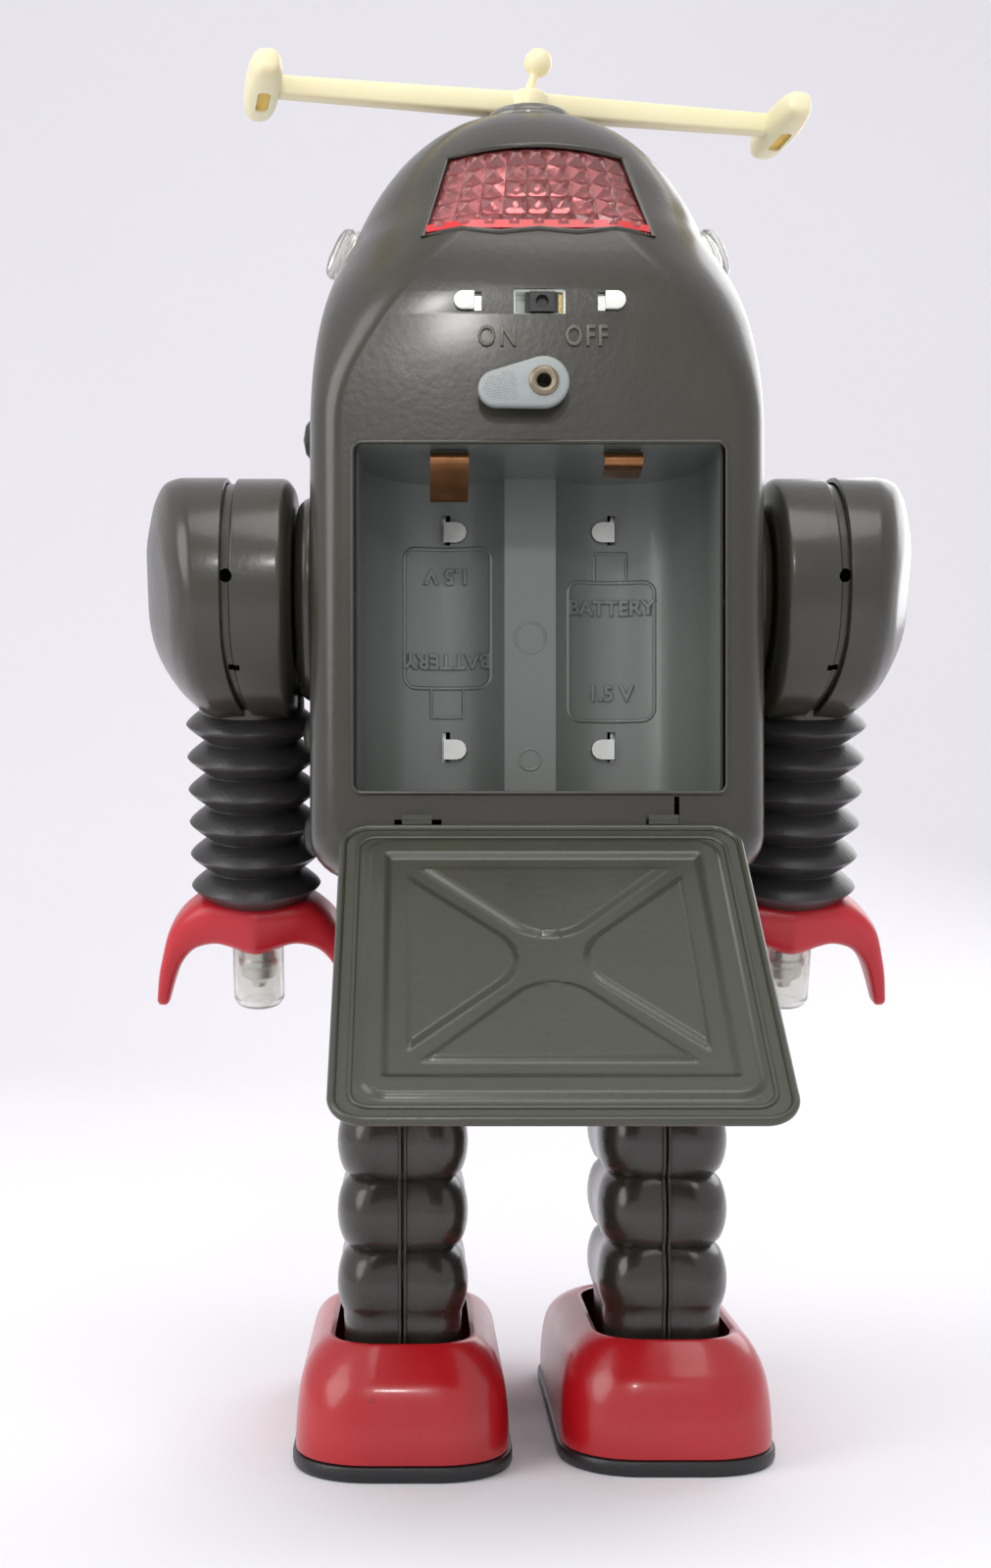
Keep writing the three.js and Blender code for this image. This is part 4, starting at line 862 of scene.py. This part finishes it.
def arms():
    pivot = joint_point("arm_swing")
    swing = Matrix.Rotation(math.radians(-ARM_HANG), 3, "X")

    def arm_place(side):
        def place(v):
            turned = swing @ v
            return Vector((side * turned.x, turned.y + pivot.y, turned.z + pivot.z))
        return place

    def squeeze(x, y, z):
        """The drum's outer face is domed, and it and the seam slope inwards below the axis."""
        x -= 0.2 * abs(y) ** 1.2 * clamp((x - 62.5) / 18.4)
        q = clamp((-z - 1) / 24.5)
        at_seam, at_face = 4.2 * q ** 2.2, 12.5 * q ** 2.4 + 2.6 * smooth(9, 25.5, z)
        if x < 62.5:
            return x - at_seam * clamp((x - 50) / 12.5)
        return x - lerp(at_seam, at_face, clamp((x - 62.5) / 18))

    def drum(profile):
        dense = []
        for (r0, x0), (r1, x1) in zip(profile, profile[1:]):
            parts = max(1, round(abs(r1 - r0) / 2))
            dense += [(lerp(r0, r1, k / parts), lerp(x0, x1, k / parts)) for k in range(parts)]
        verts, faces = lathe([*dense, profile[-1]], "X", 128)
        return [(squeeze(x, y, z), y, z) for x, y, z in verts], faces

    inner = rounded([(4, 49.0), (22.8, 49.0), (25.3, 50.8), (25.3, 61.0), (24.9, 61.3), (24.3, 61.3),
                     (24.2, 64.4), (23.5, 64.4), (23.5, 52.4), (21, 50.2), (4, 50.2), (4, 49.0)], 1.3, 6)
    outer = rounded([(0, 80.9), (20.5, 80.8), (24.2, 79.2), (25.5, 75.6), (25.5, 63.8), (25.1, 63.4),
                     (24.5, 63.4), (24.3, 76),
                     (21, 79.4), (0, 79.6)], 2.6, 7)
    boot = [(8.8, -22.6), (10.6, -22.6)]
    for i in range(6):
        crest = -26.3 - i * 7.25
        for k in range(-8, 9):
            t = k / 8
            boot.append((14.3 - 4.3 * abs(t) ** 1.25, crest - t * 3.62))
    boot += [(9.4, -66.4), (8.8, -66.4), (8.8, -22.6)]
    neck = rounded([(9, -18), (11.4, -18), (11.4, -24), (9, -24), (9, -18)], 0.5, 3)

    outer_half = [(23.2, 90.8), (22.4, 84), (21.4, 79.4), (19.9, 73.8), (18, 70.2), (15.4, 67.4),
                  (11.9, 65.2), (6, 64.5)]
    inner_half = [(20.5, 91), (18.7, 85), (16.9, 80.6), (14.5, 77.5), (11.9, 76), (8.3, 75.4),
                  (5, 76.2), (2.5, 77.2)]
    mirror = lambda half, middle: [(-x, z) for x, z in half] + [middle] + half[::-1]
    outside = spline(mirror(outer_half, (0, 64.4)), 5)
    inside = spline(mirror(inner_half, (0, 77.6)), 5)
    claw = []
    last = len(outside) - 1
    for k, (a, b) in enumerate(zip(outside, inside)):
        t = 1 - abs(2 * k / last - 1)
        deep = lerp(2.4, 10.5, t ** 0.75)
        tip = 0.72 if k in (0, last) else 1.0
        ring = []
        for i in range(40):
            angle = 2 * math.pi * i / 40
            c, s = math.cos(angle), math.sin(angle)
            across = 0.5 + 0.5 * math.copysign(abs(c) ** 0.5, c) * tip
            ridge = 1 + 0.07 * math.exp(-(((abs(across - 0.62)) / 0.1) ** 2)) * t ** 0.3
            y = deep * math.copysign(abs(s) ** 0.62, s) * tip * ridge
            ring.append((lerp(b[0], a[0], across) + ARM_X, y, -lerp(b[1], a[1], across)))
        claw.append(ring)

    socket = rounded([(0, -70), (4.2, -70), (4.2, -79.5), (4.6, -80), (4.6, -81.2), (4.2, -81.7),
                      (4.0, -84), (1.8, -85.6), (1.6, -86.8), (0, -87)], 0.35, 3)
    cover = rounded([(4.9, -76.8), (5.75, -76.8), (5.75, -89.4), (4.9, -90.9), (2, -91.5), (0, -91.6),
                     (0, -90.7), (3.6, -90.4), (4.9, -89), (4.9, -76.8)], 0.6, 4)
    boss = rounded([(3.4, 45.0), (21.5, 45.0), (21.3, 46.8), (19.6, 48.6), (12, 49.0), (3.4, 49.0),
                    (3.4, 45.0)], 1.2, 5)
    over = lambda shape: ([(x + ARM_X, y, z) for x, y, z in shape[0]], shape[1])
    for side, hand in ((1, "left"), (-1, "right")):
        place = arm_place(side)
        notch = [tool(*lathe([(0, 18), (1.35, 18), (1.35, 30), (0, 30)], "Y", 20),
                      lambda v, p=place: p(v + Vector((61.9, 0, 8.0)))),
                 tool(*box(59.6, 62, 14, 30, -11.2, -10.0), place)]
        fitted = (
            ("drum_inner", drum(inner), "olive", "arm_shell_inner", 38),
            ("drum_outer", drum(outer), "olive", "arm_shell_outer", 38),
            ("boot", over(lathe(boot, steps=72)), "bellows", "bellows", 60),
            ("claw_hood", loft(claw), "red_plastic", "claw", 60),
            ("lamp_base", over(lathe(socket, steps=40)), "steel", "lamp_socket", 38),
            ("lamp_cap", over(lathe(cover, steps=40)), "clear_lens", "lamp_cover", 38),
        )
        made = [piece(f"{name}_{hand}", *shape, finish, "arms", place, (f"{node}_{hand}",), sharp=sharp)
                for name, shape, finish, node, sharp in fitted]
        carve(made[0], *notch)
        piece(f"drum_neck_{hand}", *over(lathe(neck, steps=48)), "olive", "arms", place)
        piece(f"boss_{hand}", *lathe(boss, "X", 96), "olive",
              place=lambda v, s=side: Vector((s * v.x, v.y, v.z + pivot.z)),
              stands_for=(f"shoulder_boss_{hand}",))


# ---------------------------------------------------------------- legs and shoes

LEG_X, LEG_Y = 26.5, 6.0
NECK = 0.4  # how far the straight neck above the shoe swells, where a bulge is 1
WAIST = 0.83  # size between two bulges, where a bulge is 1
BULGES, BULGE_LOW, BULGE_PITCH = 6, 27.9, 14.2


def leg_ring(z, bulge, steps=30):
    """Half of a leg's section: two lobes, a valley at the side and one at the seam."""
    ring = []
    for i in range(steps + 1):
        a = lerp(-math.pi / 2, math.pi / 2, i / steps)
        side_valley = 0.1 * math.exp(-((a / math.radians(17)) ** 2))
        seam_valley = 0.1 * math.exp(-(((abs(a) - math.pi / 2) / math.radians(15)) ** 2))
        grow = lerp(WAIST, 1.0, bulge) * (1 - side_valley) - seam_valley * (0.3 + 0.7 * bulge)
        power = 2 / 3.1
        x = 14.0 * max(0, math.cos(a)) ** power * grow
        y = 21.5 * math.copysign(abs(math.sin(a)) ** power, a) * grow
        ring.append((0.12 + x, y, z))
    for y_end in (ring[-1][1] - 0.9, ring[0][1] + 0.9):
        ring.append((0.12, y_end, z))
    return ring


def lobe(i, t):
    """How far bulge i swells at the fraction t of its height; the lowest ends in the straight neck."""
    swell = math.sin(math.pi * t) ** 0.6
    return max(swell, NECK + 0.04) if i == 0 and t < 0.5 else swell


def leg_shell():
    rings = [leg_ring(11, NECK), leg_ring(20, NECK), leg_ring(26.5, NECK)]
    for i in range(BULGES):
        for k in range(12):
            t = k / 12
            rings.append(leg_ring(BULGE_LOW + (i + t) * BULGE_PITCH, lobe(i, t)))
    rings.append(leg_ring(BULGE_LOW + BULGES * BULGE_PITCH, 0.0))
    return loft(rings)


def seam_bead():
    """The folded seam that runs down the middle of a leg, in and out with its bulges."""
    paths = []
    for sign in (1, -1):
        path = []
        for k in range(140):
            z = lerp(11, 112.6, k / 139)
            row, t = divmod(max(z - BULGE_LOW, 0) / BULGE_PITCH, 1)
            bulge = lobe(row, t) if z > BULGE_LOW else NECK
            y = 21.5 * (lerp(WAIST, 1.0, bulge) - 0.1 * (0.3 + 0.7 * bulge))
            path.append((0, sign * (y + 0.1), z))
        paths.append(path)
    return paths


SHOE_ROWS = [  # height, inset of the heel and of the toe, half-width, corner radii of heel and toe
    (3.4, 0.6, 0.6, 21.3, 15.5, 19.5),
    (6, 0.6, 0.6, 21.3, 15.5, 19.5),
    (10, 0.9, 0.9, 21.1, 15.5, 19.5),
    (14, 1.6, 2.6, 20.7, 15.2, 19.3),
    (17.5, 2.8, 6.5, 20.0, 14.8, 18.6),
    (20.5, 4.8, 12.5, 18.8, 14.0, 17.6),
    (22.9, 6.6, 19.5, 17.2, 13.0, 15.6),
    (24.5, 8.0, 25.5, 15.4, 11.6, 13.6),
    (24.9, 8.6, 27.5, 14.5, 11.0, 12.8),
]


def shoe_ring(z, heel_in, toe_in, half, heel_round, toe_round, shrink=0.0, steps=16):
    heel, toe = 37.5 - LEG_Y - heel_in - shrink, -54.5 - LEG_Y + toe_in + shrink
    half -= shrink
    ring = []
    for sx, end, radius, start in ((1, heel, heel_round, 0), (-1, heel, heel_round, 90),
                                   (-1, toe, toe_round, 180), (1, toe, toe_round, 270)):
        reach = min(half * 0.97, radius)
        centre = end - radius if end == heel else end + radius
        for k in range(steps + 1):
            a = math.radians(start + 90 * k / steps)
            c, s = math.cos(a), math.sin(a)
            c, s = math.copysign(abs(c) ** 0.9, c), math.copysign(abs(s) ** 0.9, s)
            ring.append((sx * (half - reach) + reach * c, centre + radius * s, z))
    return ring


def legs():
    shell = leg_shell()
    seams = seam_bead()
    rows = spline(SHOE_ROWS, 5)
    for side, hand in ((1, "left"), (-1, "right")):
        home = joint_point(f"roller_rear_{hand}_spin").y - 22
        body = f"leg_{hand}"

        def place(v, s=side, home=home):
            return Vector((s * LEG_X + v.x, v.y + LEG_Y + home, v.z))

        for part, flip in (("outer", side), ("inner", -side)):
            verts = [(flip * x, y, z) for x, y, z in shell[0]]
            piece(f"leg_half_{part}_{hand}", verts, shell[1], "brown_enamel", body, place,
                  (f"leg_{part}_{hand}",))
        # The seam beads are brown like the legs but drawn in the lighter olive enamel: painted highlight
        # along the folded seams.
        for where, path in zip(("rear", "front"), seams):
            for fold, x in (("a", 0.5), ("b", -0.5)):
                ridge = [(x, y, z) for _, y, z in path]
                piece(f"leg_seam_{where}_{fold}_{hand}", *sweep(ridge, 0.42, closed=False, flat=1.6),
                      "olive", body, place, slot="brown_enamel")
        rings = [shoe_ring(*row) for row in rows]
        hollow = [shoe_ring(*row, shrink=0.8) for row in rows]
        hollow = [[(x, y, z - 0.5) for x, y, z in ring] for ring in hollow]
        piece(f"shoe_upper_{hand}", *ring_of_rings(rings + hollow[::-1]), "red_enamel", body, place,
              (f"shoe_{hand}",))
        edge = [(0.9, 0.02), (0.25, 0.35), (0, 1.0), (0, 2.6), (0.2, 3.0), (0.6, 3.15), (2, 3.15)]
        rings = [shoe_ring(z, 0, 0, 21.9, 16, 20, inset) for inset, z in edge]
        sole = piece(f"sole_plate_{hand}", *loft(rings), "sole", body, place, (f"sole_{hand}",))
        holes = [tool(*box(-7, 7, y - LEG_Y - 6, y - LEG_Y + 6, -2, 9), place) for y in (-36, 22)]
        carve(sole, *holes)


BLOCK_FACES = [(0, 1, 2, 3), (4, 7, 6, 5), (0, 4, 5, 1), (1, 5, 6, 2), (2, 6, 7, 3), (3, 7, 4, 0)]


def front_fittings():
    """The front that the back view does not show: a plain dial on the chest; the mouth's slot is cut in
    torso().
    """
    dial_place = lambda v: v + Vector((0, 0, DIAL_Z))
    bezel = rounded([(10.6, -REAR + 0.6), (10.6, -REAR - 1.0), (11.4, -REAR - 1.7), (12.3, -REAR - 1.2),
                     (12.9, -REAR - 0.2), (12.9, -REAR + 0.6), (10.6, -REAR + 0.6)], 0.4, 4)
    piece("dial_bezel", *lathe(bezel, "Y", 72), "steel", place=dial_place)
    for k in range(11):
        a = math.radians(-120 + 24 * k)
        c, s = math.cos(a), math.sin(a)
        corners = [(r * s + w * c, -REAR - 0.25 - d, r * c - w * s)
                   for d in (0, 0.2) for r, w in ((8.2, -0.3), (8.2, 0.3), (9.9, 0.3), (9.9, -0.3))]
        piece(f"dial_tick_{k}", corners, BLOCK_FACES, "black_plastic", place=dial_place)
    outline = [(-0.5, -1.5), (0.5, -1.5), (0.12, 7.6), (-0.12, 7.6)]
    pointer = [(x, -REAR - 0.45, z) for x, z in outline]
    pointer += [(x, y - 0.25, z) for x, y, z in pointer]
    turn = Matrix.Rotation(math.radians(-38), 3, "Y")
    piece("dial_pointer", pointer, BLOCK_FACES, "red_plastic", place=lambda v: dial_place(turn @ v))


# ---------------------------------------------------------------- stage

def stage():
    mesh = bpy.data.meshes.new("floor")
    # The floor runs back, curves up over a radius and goes on as a wall.
    size, bend_y, radius = 4, -0.9, 0.8
    profile = [(size, 0), (bend_y, 0)]
    for k in range(1, 31):
        a = math.pi / 2 * k / 30
        profile.append((bend_y - radius * math.sin(a), radius - radius * math.cos(a)))
    profile.append((bend_y - radius, size))
    verts = [(x, y, z) for y, z in profile for x in (-size, size)]
    faces = [(2 * k, 2 * k + 1, 2 * k + 3, 2 * k + 2) for k in range(len(profile) - 1)]
    mesh.from_pydata(verts, [], faces)
    mesh.shade_smooth()
    floor = bpy.data.objects.new("floor", mesh)
    bpy.context.collection.objects.link(floor)
    mesh.materials.append(material("floor", (0.86, 0.85, 0.88), 0.85, 0.0, 0.01, 0.0, 2.0))

    world = bpy.data.worlds.new("world")
    bpy.context.scene.world = world
    world.use_nodes = True
    world.node_tree.nodes["Background"].inputs["Color"].default_value = (0.97, 0.96, 0.98, 1)
    world.node_tree.nodes["Background"].inputs["Strength"].default_value = 0.8
    bpy.context.scene.view_settings.view_transform = "Standard"

    def lamp(name, power, size, position, target=(0, 0, 0.15)):
        light = bpy.data.lights.new(name, "AREA")
        light.energy = power
        light.shape = "ELLIPSE"
        light.size, light.size_y = size
        obj = bpy.data.objects.new(name, light)
        obj.location = position
        aim = Vector(target) - Vector(position)
        obj.rotation_euler = aim.to_track_quat("-Z", "Y").to_euler()
        bpy.context.collection.objects.link(obj)

    lamp("window_left", 8, (0.9, 1.2), (1.1, 0.6, 0.8))
    lamp("ceiling", 4.5, (0.8, 0.8), (-0.1, 0.5, 1.3))
    lamp("spark", 0.8, (0.06, 0.06), (0.05, 0.75, 0.55))
    lamp("front_fill", 4, (0.9, 0.9), (-0.7, -0.9, 0.7))

    data = bpy.data.cameras.new("camera")
    data.lens = 41.85
    data.clip_start = 0.01
    camera = bpy.data.objects.new("camera", data)
    data.sensor_fit = "VERTICAL"
    data.sensor_height = 36
    data.shift_x = 0.0503
    data.shift_y = 0.0806
    camera.rotation_euler = (math.pi / 2, 0, math.pi)
    camera.location = Vector((23.7, 388.5 + SHIFT, 110)) * MM
    bpy.context.collection.objects.link(camera)
    bpy.context.scene.camera = camera


stage()
torso()
head()
side_discs()
back_fittings()
battery_tray()
battery_door()
antenna()
arms()
legs()
front_fittings()
